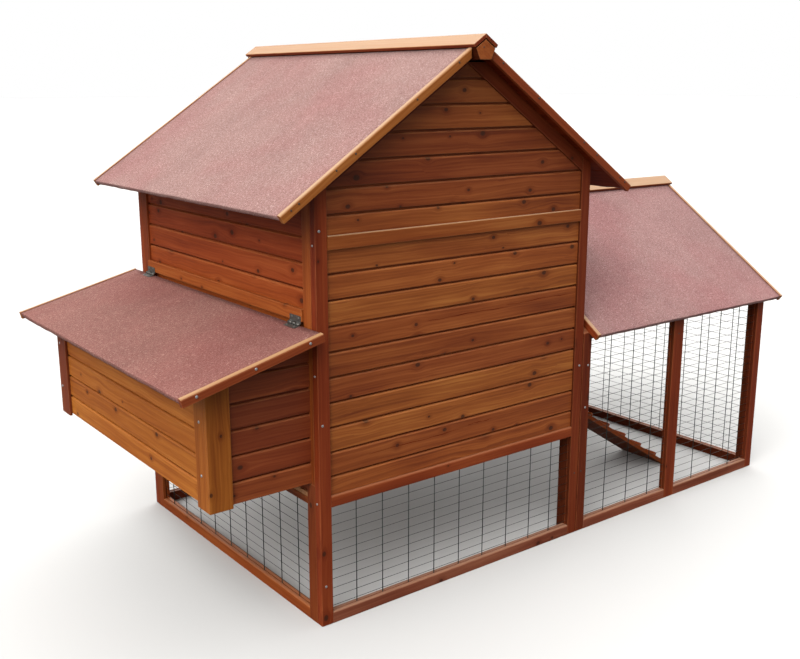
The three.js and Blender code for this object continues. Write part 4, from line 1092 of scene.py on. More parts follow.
def wire_panel(name, axis, depth, low, high, bottom, top, uprights, crosses, body="root"):
    """Welded wire: uprights in one plane, thinner cross wires laid against them.
    top is a height or, for a gable, a function of the place across."""
    part = Part(name)
    top_at = top if callable(top) else lambda across: top
    for a in uprights:
        lean = part.draw(-1.5, 1.5) * 0.4
        part.add(tube(place(axis, a + lean, bottom, depth),
                      place(axis, a - lean, top_at(a), depth), UPRIGHT_R, 8),
                 X_UP if axis is None else UP_X, smooth=True, tint=NEUTRAL)
    level = depth + (UPRIGHT_R + CROSS_R * 0.6)
    for z in crosses:
        inset, eave = 0, top_at(low)
        if z > eave:
            # inside the gable the wire ends on the rafters
            share = (z - eave) / (top_at((low + high) / 2) - eave)
            if share >= 0.98:
                continue
            inset = share * (high - low) / 2
        tilt = part.draw(-0.8, 0.8)
        part.add(tube(place(axis, low + inset, z + tilt, level),
                      place(axis, high - inset, z - tilt, level), CROSS_R, 6),
                 X_UP, smooth=True, tint=NEUTRAL)
    part.build("wire_mesh", WIRE, body=body, kind="wire")


def spread(low, high, pitch):
    n = round((high - low) / pitch)
    return [low + (high - low) * (k + 0.5) / n for k in range(n)]


def cross_wires(first, count):
    return [first + 24 * k for k in range(count)]


def end_mesh_top(y):
    edge = SIDE_Y0 + END_STILE - MESH_TUCK
    low, high = run_rafter_under(edge) + 4, run_rafter_under(MIDDLE_Y) + 12
    return low + (min(y, DEPTH - y) - edge) / (MIDDLE_Y - edge) * (high - low)


WIRE_LOW = SILL_TOP - MESH_TUCK
HOUSE_WIRE = (WIRE_LOW, FLOOR_RAIL_LOW + MESH_TUCK)
RUN_WIRE = (WIRE_LOW, RUN_RAIL_LOW + MESH_TUCK)
WALL_X = (POST - MESH_TUCK, WIDTH - POST + MESH_TUCK)
RUN_X = INNER_POST[1] - MESH_TUCK
LOW_CROSSES, RUN_CROSSES = cross_wires(40, 12), cross_wires(40, 23)
wire_panel("rear_lower_mesh", "y", MESH_IN, *WALL_X, *HOUSE_WIRE,
           [112, 193, 277, 363, 449, 536, 625, 714, 796], LOW_CROSSES)
wire_panel("front_lower_mesh", "y", DEPTH - MESH_IN, *WALL_X, *HOUSE_WIRE,
           spread(60, 840, 87), LOW_CROSSES)
wire_panel("nest_wall_mesh", "x", MESH_IN, STILE_Y0 - MESH_TUCK, STILE_Y1 + MESH_TUCK,
           *HOUSE_WIRE, [122, 209, 301, 393, 487, 581, 673, 769, 855], LOW_CROSSES)
wire_panel("run_rear_mesh", "y", MESH_IN, RUN_X, END_POST[0] + MESH_TUCK, *RUN_WIRE,
           [1034, 1137, 1241, 1345, 1468, 1568, 1668], RUN_CROSSES)
wire_panel("run_front_mesh", "y", DEPTH - MESH_IN, RUN_X, MIDDLE_POST[0] + MESH_TUCK, *RUN_WIRE,
           spread(INNER_POST[1], MIDDLE_POST[0], 95), RUN_CROSSES)
wire_panel("run_end_mesh", "x", END_POST[1] - MESH_IN, SIDE_Y0 + END_STILE - MESH_TUCK,
           SIDE_Y1 - END_STILE + MESH_TUCK, WIRE_LOW, end_mesh_top, spread(60, DEPTH - 60, 93),
           cross_wires(40, 36))
wire_panel("run_door_mesh", "y", DEPTH - MESH_IN, DOOR_X0 + DOOR_BAR - MESH_TUCK,
           DOOR_X1 - DOOR_BAR + MESH_TUCK, DOOR_Z0 + DOOR_BAR - MESH_TUCK,
           DOOR_Z1 - DOOR_BAR + MESH_TUCK, spread(DOOR_X0 + DOOR_BAR, DOOR_X1 - DOOR_BAR, 80),
           cross_wires(80, 19), body="run_door_body")

# ====================================================================== roofs
FELT, FELT_SKIN = 3.0, 2.4           # room left for the felt, and the felt itself
EAVE_R = 3.2


def sheet(part, rows, thick, outward):
    """A thick sheet from a grid of points: outer skin, inner skin, closed rim."""
    n_rows, n_cols = len(rows), len(rows[0])
    grid = np.array([[tuple(p) for p in row] for row in rows], float)
    normals = np.cross(np.gradient(grid, axis=1), np.gradient(grid, axis=0))
    normals /= np.maximum(np.linalg.norm(normals, axis=2, keepdims=True), 1e-9)
    if np.dot(normals[n_rows // 2, n_cols // 2], np.array(outward, float)) < 0:
        normals = -normals
    bm = new_bmesh()
    outer, inner = [[[bm.verts.new(tuple(skin[i, j])) for j in range(n_cols)]
                     for i in range(n_rows)] for skin in (grid, grid - normals * thick)]
    for i in range(n_rows - 1):
        for j in range(n_cols - 1):
            bm.faces.new((outer[i][j], outer[i][j + 1], outer[i + 1][j + 1], outer[i + 1][j]))
            bm.faces.new((inner[i][j], inner[i + 1][j], inner[i + 1][j + 1], inner[i][j + 1]))
    for j in range(n_cols - 1):
        bm.faces.new((outer[0][j], inner[0][j], inner[0][j + 1], outer[0][j + 1]))
        bm.faces.new((outer[-1][j], outer[-1][j + 1], inner[-1][j + 1], inner[-1][j]))
    for i in range(n_rows - 1):
        bm.faces.new((outer[i][0], outer[i + 1][0], inner[i + 1][0], inner[i][0]))
        bm.faces.new((outer[i][-1], inner[i][-1], inner[i + 1][-1], outer[i + 1][-1]))
    bmesh.ops.recalc_face_normals(bm, faces=bm.faces)
    part.add(bm, X_FLAT, smooth=True, tint=NEUTRAL)


def felt_panel(name, axis, eave, ridge, low, high, material, boards, body="root"):
    """A felted panel drawn along the axis. Its top line runs from eave to ridge, each
    (across, z); the felt follows it over boards and folds down the eave edge."""
    part = Part(name)
    (a0, z0), (a1, z1) = eave, ridge
    length = math.hypot(a1 - a0, z1 - z0)
    ua, uz = (a1 - a0) / length, (z1 - z0) / length
    sign = 1.0 if a1 > a0 else -1.0
    na, nz = -uz * sign, ua * sign   # normal of the top

    def point(s, o):
        # s up the slope from the eave, o out along the normal
        return (a0 + ua * s + na * o, z0 + uz * s + nz * o)
    grain = Y if axis == "y" else X
    slope = Vector(place(axis, ua, uz, 0)).normalized()
    # the boards are all in the dark wood, painted shade for the soffit under the felt
    joints = np.linspace(2.6, length - 0.2, boards + 1)
    for s0, s1 in zip(joints, joints[1:]):
        s0, s1 = s0 + 0.3, s1 - 0.3
        outline = [point(s0, -FELT - 0.2), point(s0, -PANEL), point(s1, -PANEL),
                   point(s1, -FELT - 0.2)]
        part.board(outline, axis, low, high, (grain, slope, grain.cross(slope)), bevel=1.0,
                   segs=1, material=1)
    # felt section as (s, o): up the eave edge, round it, then up the slope
    line = [(0.0, -PANEL + 0.4), (0.0, -PANEL * 0.62), (0.0, -PANEL * 0.36)]
    for k in range(1, 5):
        turn = math.pi / 2 * k / 4
        line.append((EAVE_R - EAVE_R * math.cos(turn), -EAVE_R + EAVE_R * math.sin(turn)))
    for k in range(1, 17):
        line.append((EAVE_R + (length - EAVE_R - 0.1) * k / 16, 0.0))
    columns = 46
    phase = [float(v) for v in part.rng.uniform(0, 6.28, 8)]
    rows = []
    for i, (s, o) in enumerate(line):
        row = []
        for j in range(columns + 1):
            e = low + (high - low) * j / columns
            # the felt sags in soft waves, most near the eave
            sag = math.exp(-max(0.0, s) / 60.0) * 0.45 * (1 if s > 1 else 0.6) * (
                1 + math.sin(e * 0.021 + phase[0]) * 0.6 + math.sin(e * 0.057 + phase[1]) * 0.4)
            if 8 < s < length - 3:
                sag += 0.35 * min(1.0, (s - 8) / 60) * (
                    1 + math.sin(e * 0.009 + s * 0.012 + phase[2]) * math.sin(s * 0.017 + phase[3]))
            out, shift = o, 0.0
            if i == 0:
                # the cut lower edge is uneven
                out += 0.9 * math.sin(e * 0.09 + phase[4]) + 0.6 * math.sin(e * 0.23 + phase[5])
                out = max(out, -PANEL)
            if i <= 3:
                shift = 0.35 * (1 + math.sin(e * 0.03 + phase[6]))
            row.append(Vector(place(axis, *point(s + shift, out - sag), e)))
        rows.append(row)
    sheet(part, rows, FELT_SKIN, place(axis, na, nz, 0))
    part.build("roof_felt", material, SOFFIT_SHADE_AND_CRACKS, body=body, kind="felt")


BEAM_HALF = 31                       # half width of the ridge beam
REAR_TRIM_Y, FRONT_TRIM_Y = -46, 1002
LID_REAR_Y, LID_FRONT_Y = -41, 996
RUN_TRIM_X0, RUN_TRIM_X1 = 922, 1827
roof_y = (REAR_TRIM_Y + TRIM + GAP, FRONT_TRIM_Y - GAP)
lid_y = (LID_REAR_Y + TRIM + GAP, LID_FRONT_Y - GAP)
run_x = (RUN_TRIM_X0 + TRIM + GAP, RUN_TRIM_X1 - GAP)
ridge_x, ridge_y = MIDDLE_X - BEAM_HALF - GAP, MIDDLE_Y - GAP
felt_panel("roof_panel_left", "y", (-ROOF_OVER, ROOF_EAVE_Z), (ridge_x, roof_top(ridge_x)),
           *roof_y, ROOF_FELT, 7)
felt_panel("roof_panel_right", "y", (WIDTH + ROOF_OVER, ROOF_EAVE_Z),
           (WIDTH - ridge_x, roof_top(ridge_x)), *roof_y, ROOF_FELT, 7)
felt_panel("nest_lid", "y", LID_OUTER, LID_INNER, *lid_y, LID_FELT, 4, body="nest_lid_body")
felt_panel("run_roof_rear", "x", (-RUN_OVER, RUN_EAVE_Z), (ridge_y, run_top(ridge_y)),
           *run_x, RUN_FELT, 6)
felt_panel("run_roof_front", "x", (DEPTH + RUN_OVER, RUN_EAVE_Z),
           (DEPTH - ridge_y, run_top(ridge_y)), *run_x, RUN_FELT, 6)

# edge trims of the house roof, stopping beside the ridge beam
RIDGE_Z = roof_top(MIDDLE_X)


def beside_beam(height):
    away = BEAM_HALF + GAP + 0.4
    return (MIDDLE_X - away, RIDGE_Z - ROOF_SLOPE * away + height / ROOF_COS)


trim_left = [above_roof(-ROOF_OVER, TRIM_UP), above_roof(-ROOF_OVER, TRIM_DOWN),
             beside_beam(TRIM_DOWN), beside_beam(TRIM_UP)]
for end, y0, outer_y, rest in (("rear", REAR_TRIM_Y, REAR_TRIM_Y, 1.0),
                               ("front", FRONT_TRIM_Y, FRONT_TRIM_Y + TRIM, 2.0)):
    for side, outline, along, material, tint in (
            ("left", trim_left, ROOF_RISE, TRIM_WOOD, (0.2, 0.6, .5)),
            ("right", mirrored(trim_left, WIDTH), ROOF_FALL, RED_TRIM, (1.8, 0.4, .3))):
        part = Part(f"roof_trim_{end}_{side}")
        part.rounded(outline, "y", y0, y0 + TRIM, sloped(along, Y),
                     on_line("y", outer_y, (outline[0], outline[-1])), 4.2, rest, tint=tint)
        part.build("trim_wood", material)

# ridge beam and cap
part = Part("ridge_beam")
beam_edge_z, beam_low = RIDGE_Z - ROOF_SLOPE * BEAM_HALF, RIDGE_Z - 47
# the beam's flanks and underside take the near-black wood as painted shade
part.board([(MIDDLE_X, RIDGE_Z), (MIDDLE_X - BEAM_HALF, beam_edge_z), (MIDDLE_X - 18, beam_low),
            (MIDDLE_X + 18, beam_low), (MIDDLE_X + BEAM_HALF, beam_edge_z)],
           "y", -60, 1028, Y_UP, (), 1.6, 3, tint=(0.4, -1.2, 0.5),
           second=lambda normal: abs(normal.y) < 0.75)
part.build("trim_wood", TRIM_WOOD, BEAM_FLANK_SHADE)

cap_low, cap_high = CAP_LOW, CAP_LOW + CAP_THICK
cap_x = MIDDLE_X - 39 * ROOF_COS
outline = [above_roof(cap_x, cap_low), (MIDDLE_X - 0.15, RIDGE_Z + cap_low / ROOF_COS - 0.1),
           (MIDDLE_X - 0.15, RIDGE_Z + cap_high / ROOF_COS - 0.1), above_roof(cap_x, cap_high)]
part = Part("ridge_cap")
# the cap's ends and undersides take the red frame wood as painted shade
part.board(outline, "y", -61, 1029, (Y, ROOF_RISE, Z), bevel=1.4, second=shaded_ends("y"))
part.board(mirrored(outline, WIDTH), "y", -61, 1029, (Y, ROOF_FALL, Z), bevel=1.4,
           second=shaded_ends("y"))
part.build("trim_wood", TRIM_WOOD, RED_FRAME)


# run roof trims and cap
def run_peak(height):
    y = MIDDLE_Y - 0.15
    return (y, run_top(y) + height / RUN_COS)


trim_rear = [above_run(-RUN_OVER, TRIM_DOWN), run_peak(TRIM_DOWN), run_peak(TRIM_UP),
             above_run(-RUN_OVER, TRIM_UP)]
trim_front = mirrored(trim_rear, DEPTH)
# the inner trim's faces turned to the house wall get the red frame wood as painted shade
for name, x0, outer_x, shade_faces in (("run_trim_inner", RUN_TRIM_X0, RUN_TRIM_X0, faces_left_in_shade),
                                  ("run_trim_outer", RUN_TRIM_X1, RUN_TRIM_X1 + TRIM, None)):
    part = Part(name)
    for outline, along, edge in ((trim_rear, RUN_RISE, trim_rear[2:]),
                                 (trim_front, RUN_FALL, trim_front[:2])):
        part.rounded(outline, "x", x0, x0 + TRIM, sloped(along, X),
                     on_line("x", outer_x, edge), 3.6, 1.0, second=shade_faces)
    part.build("trim_wood", TRIM_WOOD, RED_FRAME)

cap_y = MIDDLE_Y - 36 * RUN_COS
outline = [above_run(cap_y, cap_low), run_peak(cap_low), run_peak(cap_high),
           above_run(cap_y, cap_high)]
part = Part("run_ridge_cap")
# the cap's ends and undersides take the red frame wood as painted shade
part.board(outline, "x", 918, 1843, (X, RUN_RISE, Z), bevel=1.4, second=shaded_ends("x"))
part.board(mirrored(outline, DEPTH), "x", 918, 1843, (X, RUN_FALL, Z), bevel=1.4,
           second=shaded_ends("x"))
part.build("trim_wood", TRIM_WOOD, RED_FRAME)

# =================================================================== nest box
LID_CUT = [slope_cut("y", lambda x: lid_under(x) - 0.6, -300.0, 0.0)]
NEST_X, NEST_Z = -266.7, 368         # outer panel's face and the box's underside
NEST_Y0, NEST_Y1 = 47.6, 945.4       # between the end panels
for name, face, out in (("nest_end_rear", 35.3, -1), ("nest_end_front", 957.7, 1)):
    part = Part(name)
    # painted shade under the lid: the lower board tints darken upward, and the wood is the darker red
    # copy
    siding(part, "y", NEST_X, -GAP, NEST_Z, 752, [NEST_END_BOARDS], face, out, cuts=LID_CUT,
           tints=[(1.6, 0.8, .2), (0.3, -0.4, .4), (-1.5, -0.9, .6), (-2.8, -1.2, .8),
                  (0.0, -0.2, .3), (0.0, -0.2, .5)])
    part.build("warm_wood", SHADE_RED)
part = Part("nest_outer_panel")
siding(part, "x", NEST_Y0, NEST_Y1, NEST_Z, lid_under(NEST_X) + 2, [NEST_OUTER_BOARDS],
       NEST_X, -1, cuts=LID_CUT,
       tints=[(0.1, 0.3, .4), (-0.6, 0.2, .5), (-0.6, -0.1, .3), (0.0, -0.3, .6),
              (-0.8, -0.6, .4), (-1.0, -0.8, .2)])
part.build("warm_wood", WARM)
# corner boards: one on the end, one on the outer panel
# the front corner is darker as painted shade: a low tint on its outer board and the darker red copy
for name, y, inward, tint, material in (
        ("nest_corner_rear", 27, 1, (-1.8, -0.2, .7), WARM),
        ("nest_corner_front", 966, -1, (-3, -1.5, .4), SHADE_RED)):
    part = Part(name)
    part.slab(-275, -215, *sorted((y, y + inward * 8)), 362, 700, UP_X, LID_CUT, 1.6, 3,
              tint=(-1.6, 0.3, .4))
    part.slab(-275, -267, *sorted((y + inward * 8.2, y + inward * 60)), 362, 700, UP_Y, LID_CUT,
              1.6, 3, tint=tint)
    part.build("warm_wood", material)

part = Part("nest_floor")
NEST_INNER_X = -254.4
joints = np.linspace(NEST_INNER_X, -0.3, 4)
for x0, x1 in zip(joints, joints[1:]):
    part.slab(x0 + 0.3, x1 - 0.3, NEST_Y0, NEST_Y1, NEST_Z, 380, Y_FLAT, bevel=0.8, segs=1)
divider = [(NEST_INNER_X, 380.3), (5.7, 380.3), (5.7, 690), (-30, 690),
           (NEST_INNER_X, lid_under(-254.7) - 22.6)]
for y in (352, 628):
    part.board(divider, "y", y, y + 12, X_UP, (), 1.0, 1)
part.build("plain_board", PLAIN)

# nest lid trims
outline = [above_lid(LID_OUTER[0], TRIM_UP), above_lid(LID_OUTER[0], TRIM_DOWN),
           above_lid(LID_INNER[0], TRIM_DOWN), above_lid(LID_INNER[0], TRIM_UP)]
for name, y0, outer_y, rest, material in (
        ("nest_lid_trim_rear", LID_REAR_Y, LID_REAR_Y, 1.0, RED_TRIM),
        ("nest_lid_trim_front", LID_FRONT_Y, LID_FRONT_Y + TRIM, 2.2, TRIM_WOOD)):
    part = Part(name)
    part.rounded(outline, "y", y0, y0 + TRIM, sloped(LID_RISE, Y),
                 on_line("y", outer_y, (outline[0], outline[-1])), 4.6, rest,
                 tint=(0.2, 0.2, 0.5))
    part.build("trim_wood", material, body="nest_lid_body")

# lid hinges: leaf on the lid with the middle knuckle, leaf on the rail with the outer ones
PIN_X, PIN_Z, LEAF_HALF = -11, 757, 24
leaf_outline = [above_lid(-25, 0.3), above_lid(PIN_X, 0.3), above_lid(PIN_X, 1.5),
                above_lid(-25, 1.5)]
tab_outline = [(-7.4, 756.4), (-9.8, 758.4), (-7.4, 761.8), (-5.8, 763.0), (-5.8, 757.0)]
for end, y in (("rear", 82.0), ("front", 888.0)):
    leaf = Part(f"lid_hinge_{end}_leaf")
    leaf.board(leaf_outline, "y", y - LEAF_HALF, y + LEAF_HALF, Y_FLAT, bevel=0.4, tint=NEUTRAL)
    leaf.knuckle((PIN_X, y - 8, PIN_Z), (PIN_X, y + 8, PIN_Z))
    leaf.knuckle((PIN_X, y - 25.5, PIN_Z), (PIN_X, y + 25.5, PIN_Z), 1.5)
    screw_x, screw_z = above_lid(-19.5, 1.5)
    for dy in (-16, 16):
        leaf.screw((screw_x, y + dy, screw_z), (-LID_SLOPE * LID_COS, 0, LID_COS), 3.2)
    leaf.build("hardware", ZINC, body="nest_lid_body", kind="metal")
    for y0, y1 in ((y - LEAF_HALF, y - 8.4), (y + 8.4, y + LEAF_HALF)):
        fixed_leaves.knuckle((PIN_X, y0, PIN_Z), (PIN_X, y1, PIN_Z))
        fixed_leaves.board(tab_outline, "y", y0, y1, Y_UP, bevel=0, tint=NEUTRAL)
    fixed_leaves.slab(-7.3, -5.75, y - LEAF_HALF, y + LEAF_HALF, 759.5, 776, Y_UP, bevel=0.5,
                      tint=NEUTRAL)
    fixed_leaves.screws("x", -7.3, -1, 4.2, [(y - 14, 769.5), (y + 14, 769.5)])
fixed_leaves.build("hardware", ZINC, kind="metal", replaces=False)


# ======================================================================== run
def under_trim(y):
    return run_top(y) - (-TRIM_DOWN + GAP) / RUN_COS


REAR_CUT, FRONT_CUT = slope_cuts("x", run_seat)


def run_side(name, rear):
    """Posts and rails of one long side; the front leaves a doorway in its second bay."""
    y0, y1, outer_y = (0, FRAME, 0) if rear else (FRONT, DEPTH, DEPTH)
    groove = REAR_GROOVE if rear else FRONT_GROOVE
    cut = REAR_CUT if rear else FRONT_CUT
    trim_cut = slope_cuts("x", under_trim)[0 if rear else 1]
    top = run_seat(FRAME) + GAP + 4
    part = Part(name)
    # the inner post stops under the roof's inner trim; a thin strip beside it goes on up
    part.board(grooved(*INNER_POST, y0, y1, "a+", groove), "z", 0, 640, UP_X, [trim_cut], 1.4)
    part.slab(INNER_POST[1] - 1, INNER_POST[1], y0 + 0.2, y1 - 0.2, 560, top, UP_X, [cut],
              bevel=0)
    # the middle and end posts' faces turned to low x get the near-black wood as painted shade
    part.board(grooved(*MIDDLE_POST, y0, y1, "a-" if rear else "a+", groove), "z", 0, top,
               UP_X, [cut], 1.4, tint=(1.2, 0.4, .5) if rear else None, second=faces_left_in_shade)
    part.board(grooved(*END_POST, y0, y1, "a-", groove), "z", 0, top, UP_X, [cut], 1.4,
               second=faces_left_in_shade)
    for x0, x1, wired in ((INNER_POST[1] + 0.2, MIDDLE_POST[0] - 0.2, True),
                          (MIDDLE_POST[1] + 0.2, END_POST[0] - 0.2, rear)):
        if wired:
            part.rounded(grooved(y0, y1, 0, SILL_TOP, "b+", groove), "x", x0, x1, X_UP,
                         edge_at(y=outer_y, z=SILL_TOP), 4.0, tint=(1.4, 0.6, .5), material=2)
            part.board(grooved(y0, y1, RUN_RAIL_LOW, top, "b-", groove), "x", x0, x1, X_UP, [cut])
        else:
            part.slab(x0, x1, y0, y1, 0, SILL_TOP, X_UP, bevel=1.8)
            part.slab(x0, x1, y0, y1, RUN_RAIL_LOW, top, X_UP, [cut])
    part.build("red_wood", RED_FRAME, LEFT_FACE_SHADE, DUSTY)


run_side("run_rear_frame", True)
run_side("run_front_frame", False)

part = Part("run_end_frame")
x0, x1 = END_POST[1] - FRAME, END_POST[1]
y0, y1 = SIDE_Y0 + END_STILE, SIDE_Y1 - END_STILE
stile_top = run_seat(y0) + 2
# its faces turned to low x get the near-black wood as painted shade
part.board(grooved(x0, x1, SIDE_Y0, y0, "b+", END_GROOVE), "z", 0, stile_top, UP_Y, [REAR_CUT],
           1.4, second=faces_left_in_shade)
part.board(grooved(x0, x1, y1, SIDE_Y1, "b-", END_GROOVE), "z", 0, stile_top, UP_Y, [FRONT_CUT],
           1.4, second=faces_left_in_shade)
y0, y1 = y0 + 0.2, y1 - 0.2
part.board(grooved(x0, x1, 0, SILL_TOP, "b+", END_GROOVE), "y", y0, y1, Y_UP, (), 1.8,
           second=faces_left_in_shade)
part.slab(x0, x1, y0, y1, 588, 620, Y_UP, bevel=1.4, second=faces_left_in_shade)
mid = MIDDLE_Y - 0.2
outline = [(y0, run_rafter_under(y0)), (mid, run_rafter_under(mid)), (mid, run_seat(mid)),
           (y0, run_seat(y0))]
part.board(outline, "x", x0, x1, sloped(RUN_RISE, X), second=faces_left_in_shade)
part.board(mirrored(outline, DEPTH), "x", x0, x1, sloped(RUN_FALL, X), second=faces_left_in_shade)
part.build("red_wood", RED_FRAME, LEFT_FACE_SHADE)

# mesh door
part = Part("run_door_frame")
DOOR_Y = (948, 966)
for bar_x, side in (((DOOR_X0, DOOR_X0 + DOOR_BAR), "a+"), ((DOOR_X1 - DOOR_BAR, DOOR_X1), "a-")):
    part.board(grooved(*bar_x, *DOOR_Y, side, FRONT_GROOVE), "z", DOOR_Z0, DOOR_Z1, UP_X, (), 1.6)
for bar_z, side in (((DOOR_Z0, DOOR_Z0 + DOOR_BAR), "b+"), ((DOOR_Z1 - DOOR_BAR, DOOR_Z1), "b-")):
    part.board(grooved(*DOOR_Y, *bar_z, side, FRONT_GROOVE), "x", DOOR_X0 + DOOR_BAR + 0.2,
               DOOR_X1 - DOOR_BAR - 0.2, X_UP, (), 1.6)
part.build("red_wood", RED_FRAME, body="run_door_body")
part = Part("run_door_screws")
part.screws("y", 966.2, 1, 3.2, [(x, z) for x in (DOOR_X0 + 20, DOOR_X1 - 20) for z in (
    DOOR_Z0 + 13, DOOR_Z0 + 27, DOOR_Z1 - 27, DOOR_Z1 - 13)])
part.build_screws("run_door_body")

# ramp of two boards with seven cleats, its foot in the run
RAMP_SLOPE, RAMP_FOOT, RAMP_THICK = 0.628, 1556, 13
RAMP_COS = 1 / math.hypot(1, RAMP_SLOPE)
RAMP_HEAD = WIDTH - 4
CLEAT_X = [RAMP_FOOT - 55 * RAMP_COS - k * 100 * RAMP_COS for k in range(7)]


def ramp_under(x):
    return RAMP_SLOPE * (RAMP_FOOT - x)


def above_ramp(x, height):
    return lift(x, ramp_under(x), -RAMP_SLOPE, height)


part = Part("ramp")
ramp_fall = Vector((1, 0, -RAMP_SLOPE)).normalized()
outline = [(RAMP_HEAD, ramp_under(RAMP_HEAD)),
           (RAMP_HEAD, ramp_under(RAMP_HEAD) + RAMP_THICK / RAMP_COS),
           (RAMP_FOOT + RAMP_THICK / RAMP_COS / RAMP_SLOPE, 0), (RAMP_FOOT, 0)]
for y0, y1 in ((192, 283.8), (284.2, 376)):
    part.board(outline, "y", y0, y1, (ramp_fall, Y, ramp_fall.cross(Y)))
for x in CLEAT_X:
    x0 = x - 12 * RAMP_COS
    part.board([above_ramp(x, 12), above_ramp(x, 23), above_ramp(x0, 23), above_ramp(x0, 12)],
               "y", 196, 372, Y_UP)
part.build("warm_wood", LEFT_WALL, body="ramp_body")
part = Part("ramp_screws")
for x in CLEAT_X:
    screw_x, screw_z = above_ramp(x - 6 * RAMP_COS, 23)
    for y in (215, 353):
        part.screw((screw_x, y, screw_z), (RAMP_SLOPE * RAMP_COS, 0, RAMP_COS), 2.6)
part.build_screws("ramp_body")

# ------------------------------------------------------------ nails and screws
part = Part("trim_nails")
for x in (82, 255, 30, 380, -68, -88):
    z = roof_top(x) - 6 / ROOF_COS
    part.screws("y", -46.2, -1, 2.3, [(x, z), (WIDTH - x, z)])
    part.screws("y", 1014.2, 1, 2.3, [(x, z), (WIDTH - x, z)])
part.screws("y", -0.05, -1, 2.3, [(886, 190), (914, 190), (1338, 545), (1774, 545)])
part.screws("y", -59.0, -1, 2.2, [(444, 1386)])
part.build("hardware", NAIL, kind="metal", replaces=False)

run_trim_points = [(across, run_top(y) - 6 / RUN_COS)
                   for y in (40, 220, 400) for across in (y, DEPTH - y)]
part = Part("screws_house")
# axis the screws stand along, surface, side, radius, points in the other two coordinates
for row in (
        ("y", -0.1, -1, 3.4, [(11, 980), (11, 520), (13, 105), (888, 518), (920, 386),
                              (925, 513)]),
        ("x", -0.1, -1, 3.1, [(12, 947), (13, 321), (12, 640)]),
        ("x", -275.2, -1, 3.8, [(61, 573), (60, 446), (947, 573), (949, 444)]),
        ("y", 966.2, 1, 3.6, [(-245, 640), (-245, 560), (-245, 400)]),
        ("x", 1839.2, 1, 3.0, run_trim_points),
        ("y", DEPTH + 0.1, 1, 3.9, [(12, 980), (12, 520), (12, 105), (888, 980), (888, 520),
                                    (888, 105), (1338, 560), (1338, 20), (1774, 560)]),
        ("x", 1790.2, 1, 3.6, [(34, 600), (34, 20), (DEPTH - 34, 600), (DEPTH - 34, 20)])):
    part.screws(*row)
part.build_screws()
part = Part("screws_lid")
for x in (-326, -183, -43):
    part.screws("y", -41.2, -1, 3.3, [(x, lid_top(x) - 8)])
    part.screws("y", 1008.2, 1, 3.3, [(x, lid_top(x) - 8)])
part.build_screws("nest_lid_body")

# ------------------------------------------------------------------ the studio
# the floor looks light to the camera but throws little light back
FLOOR_BOUNCE, FLOOR_SEEN = (0.13, 0.125, 0.12), (0.565, 0.565, 0.56)
FLOOR_HALF, FLOOR_DROP = 90, -0.0006  # metres


def floor_material():
    net = Material("studio_floor")
    path = net.new("LightPath")
    net.surface(Base_Color=net.mix(path.outputs["Is Camera Ray"], FLOOR_BOUNCE, FLOOR_SEEN),
                Roughness=0.95, Specular_IOR_Level=0.1)
    return net.mat


mesh = bpy.data.meshes.new("floor")
mesh.from_pydata([(x * FLOOR_HALF, y * FLOOR_HALF, FLOOR_DROP)
                  for x, y in ((-1, -1), (1, -1), (1, 1), (-1, 1))], [], [(0, 1, 2, 3)])
floor = bpy.data.objects.new("floor", mesh)
bpy.context.scene.collection.objects.link(floor)
mesh.materials.append(floor_material())

# a soft studio dome: overhead glow, main lobe above the rear left, weaker fill above the
# front right, dim near the horizon
SKY_GAIN, SKY_BASE = 1.42, 0.14
OVERHEAD = dict(power=3.0, strength=0.6)
MAIN_LOBE = dict(direction=(-0.75, -0.35, 0.75), power=8.0, strength=5.4)
FILL_LOBE = dict(direction=(0.65, 0.55, 0.5), power=4.0, strength=2.2)
world = bpy.data.worlds.new("studio")
bpy.context.scene.world = world
world.use_nodes = True
net = Nodes(world.node_tree)


def glow(cosine, power, strength):
    return net.mul(net.math("POWER", net.math("MAXIMUM", cosine, 0.0), power), strength)


def lobe(direction, power, strength):
    aim = tuple(Vector(direction).normalized())
    return glow(net.vector("DOT_PRODUCT", ray, aim), power, strength)


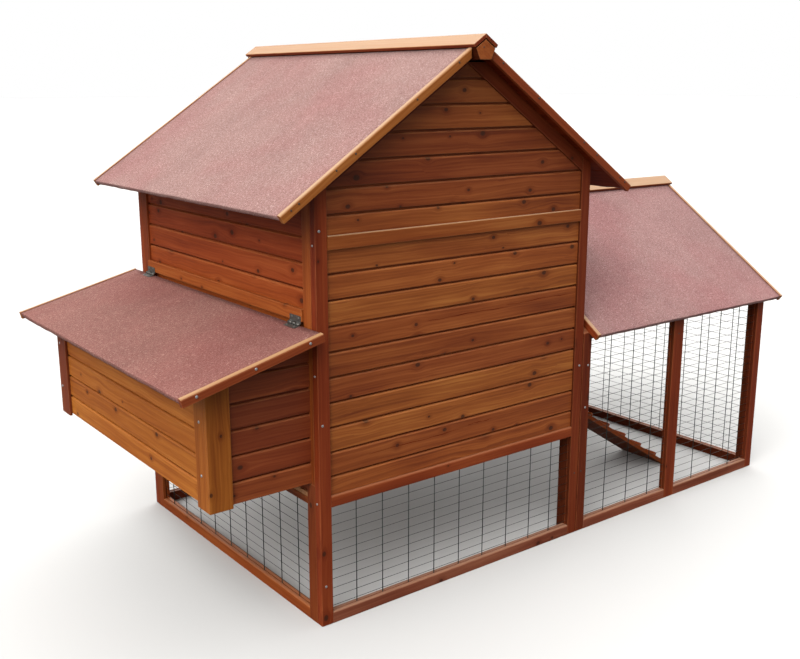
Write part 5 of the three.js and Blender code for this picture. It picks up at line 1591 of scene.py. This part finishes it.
ray = net.vector("NORMALIZE", net.new("TexCoord").outputs["Generated"])
light = net.add(glow(net.split(ray)[2], **OVERHEAD), lobe(**MAIN_LOBE))
light = net.add(light, lobe(**FILL_LOBE))
light = net.mul(net.add(light, SKY_BASE), SKY_GAIN)
world_out = net.new("OutputWorld")
dome, backdrop = net.new("Background"), net.new("Background")
path = net.new("LightPath")
mixer = net.new("MixShader")
net.put(dome.inputs["Color"], (1.0, 0.99, 0.975, 1))
net.put(dome.inputs["Strength"], light)
# the camera itself sees plain white
net.put(backdrop.inputs["Color"], (1, 1, 1, 1))
net.put(backdrop.inputs["Strength"], 1.0)
net.put(mixer.inputs[0], path.outputs["Is Camera Ray"])
net.put(mixer.inputs[1], dome.outputs[0])
net.put(mixer.inputs[2], backdrop.outputs[0])
net.put(world_out.inputs[0], mixer.outputs[0])

soft = bpy.data.lights.new("soft_overhead", "AREA")
soft.shape = "SQUARE"
soft.size = 2.8
soft.energy = 10.0
soft_ob = bpy.data.objects.new("soft_overhead", soft)
soft_ob.location = (-0.3, -0.4, 3.8)
bpy.context.scene.collection.objects.link(soft_ob)

# camera: off the rear nest-box corner, looking slightly down at the coop
CAMERA_PLACE = Vector((-1213.38, -1895.58, 1301.31))
YAW, PITCH, ROLL = (math.radians(angle) for angle in (-37.4849, -13.6756, 0.0158))
cam_data = bpy.data.cameras.new("camera")
cam = bpy.data.objects.new("camera", cam_data)
bpy.context.scene.collection.objects.link(cam)
cam_data.sensor_fit = "HORIZONTAL"
cam_data.sensor_width = 36.0
cam_data.lens = 45.376
forward = Vector((-math.sin(YAW) * math.cos(PITCH), math.cos(YAW) * math.cos(PITCH),
                  math.sin(PITCH)))
level_right = Vector((math.cos(YAW), math.sin(YAW), 0))
level_up = level_right.cross(forward)
right = math.cos(ROLL) * level_right + math.sin(ROLL) * level_up
up = -math.sin(ROLL) * level_right + math.cos(ROLL) * level_up
position = ORIGIN + CAMERA_PLACE * MM
cam.matrix_world = Matrix([(right[i], up[i], -forward[i], position[i]) for i in range(3)]
                          + [(0, 0, 0, 1)])
bpy.context.scene.camera = cam
bpy.context.scene.view_settings.view_transform = "Standard"

bpy.context.view_layer.update()
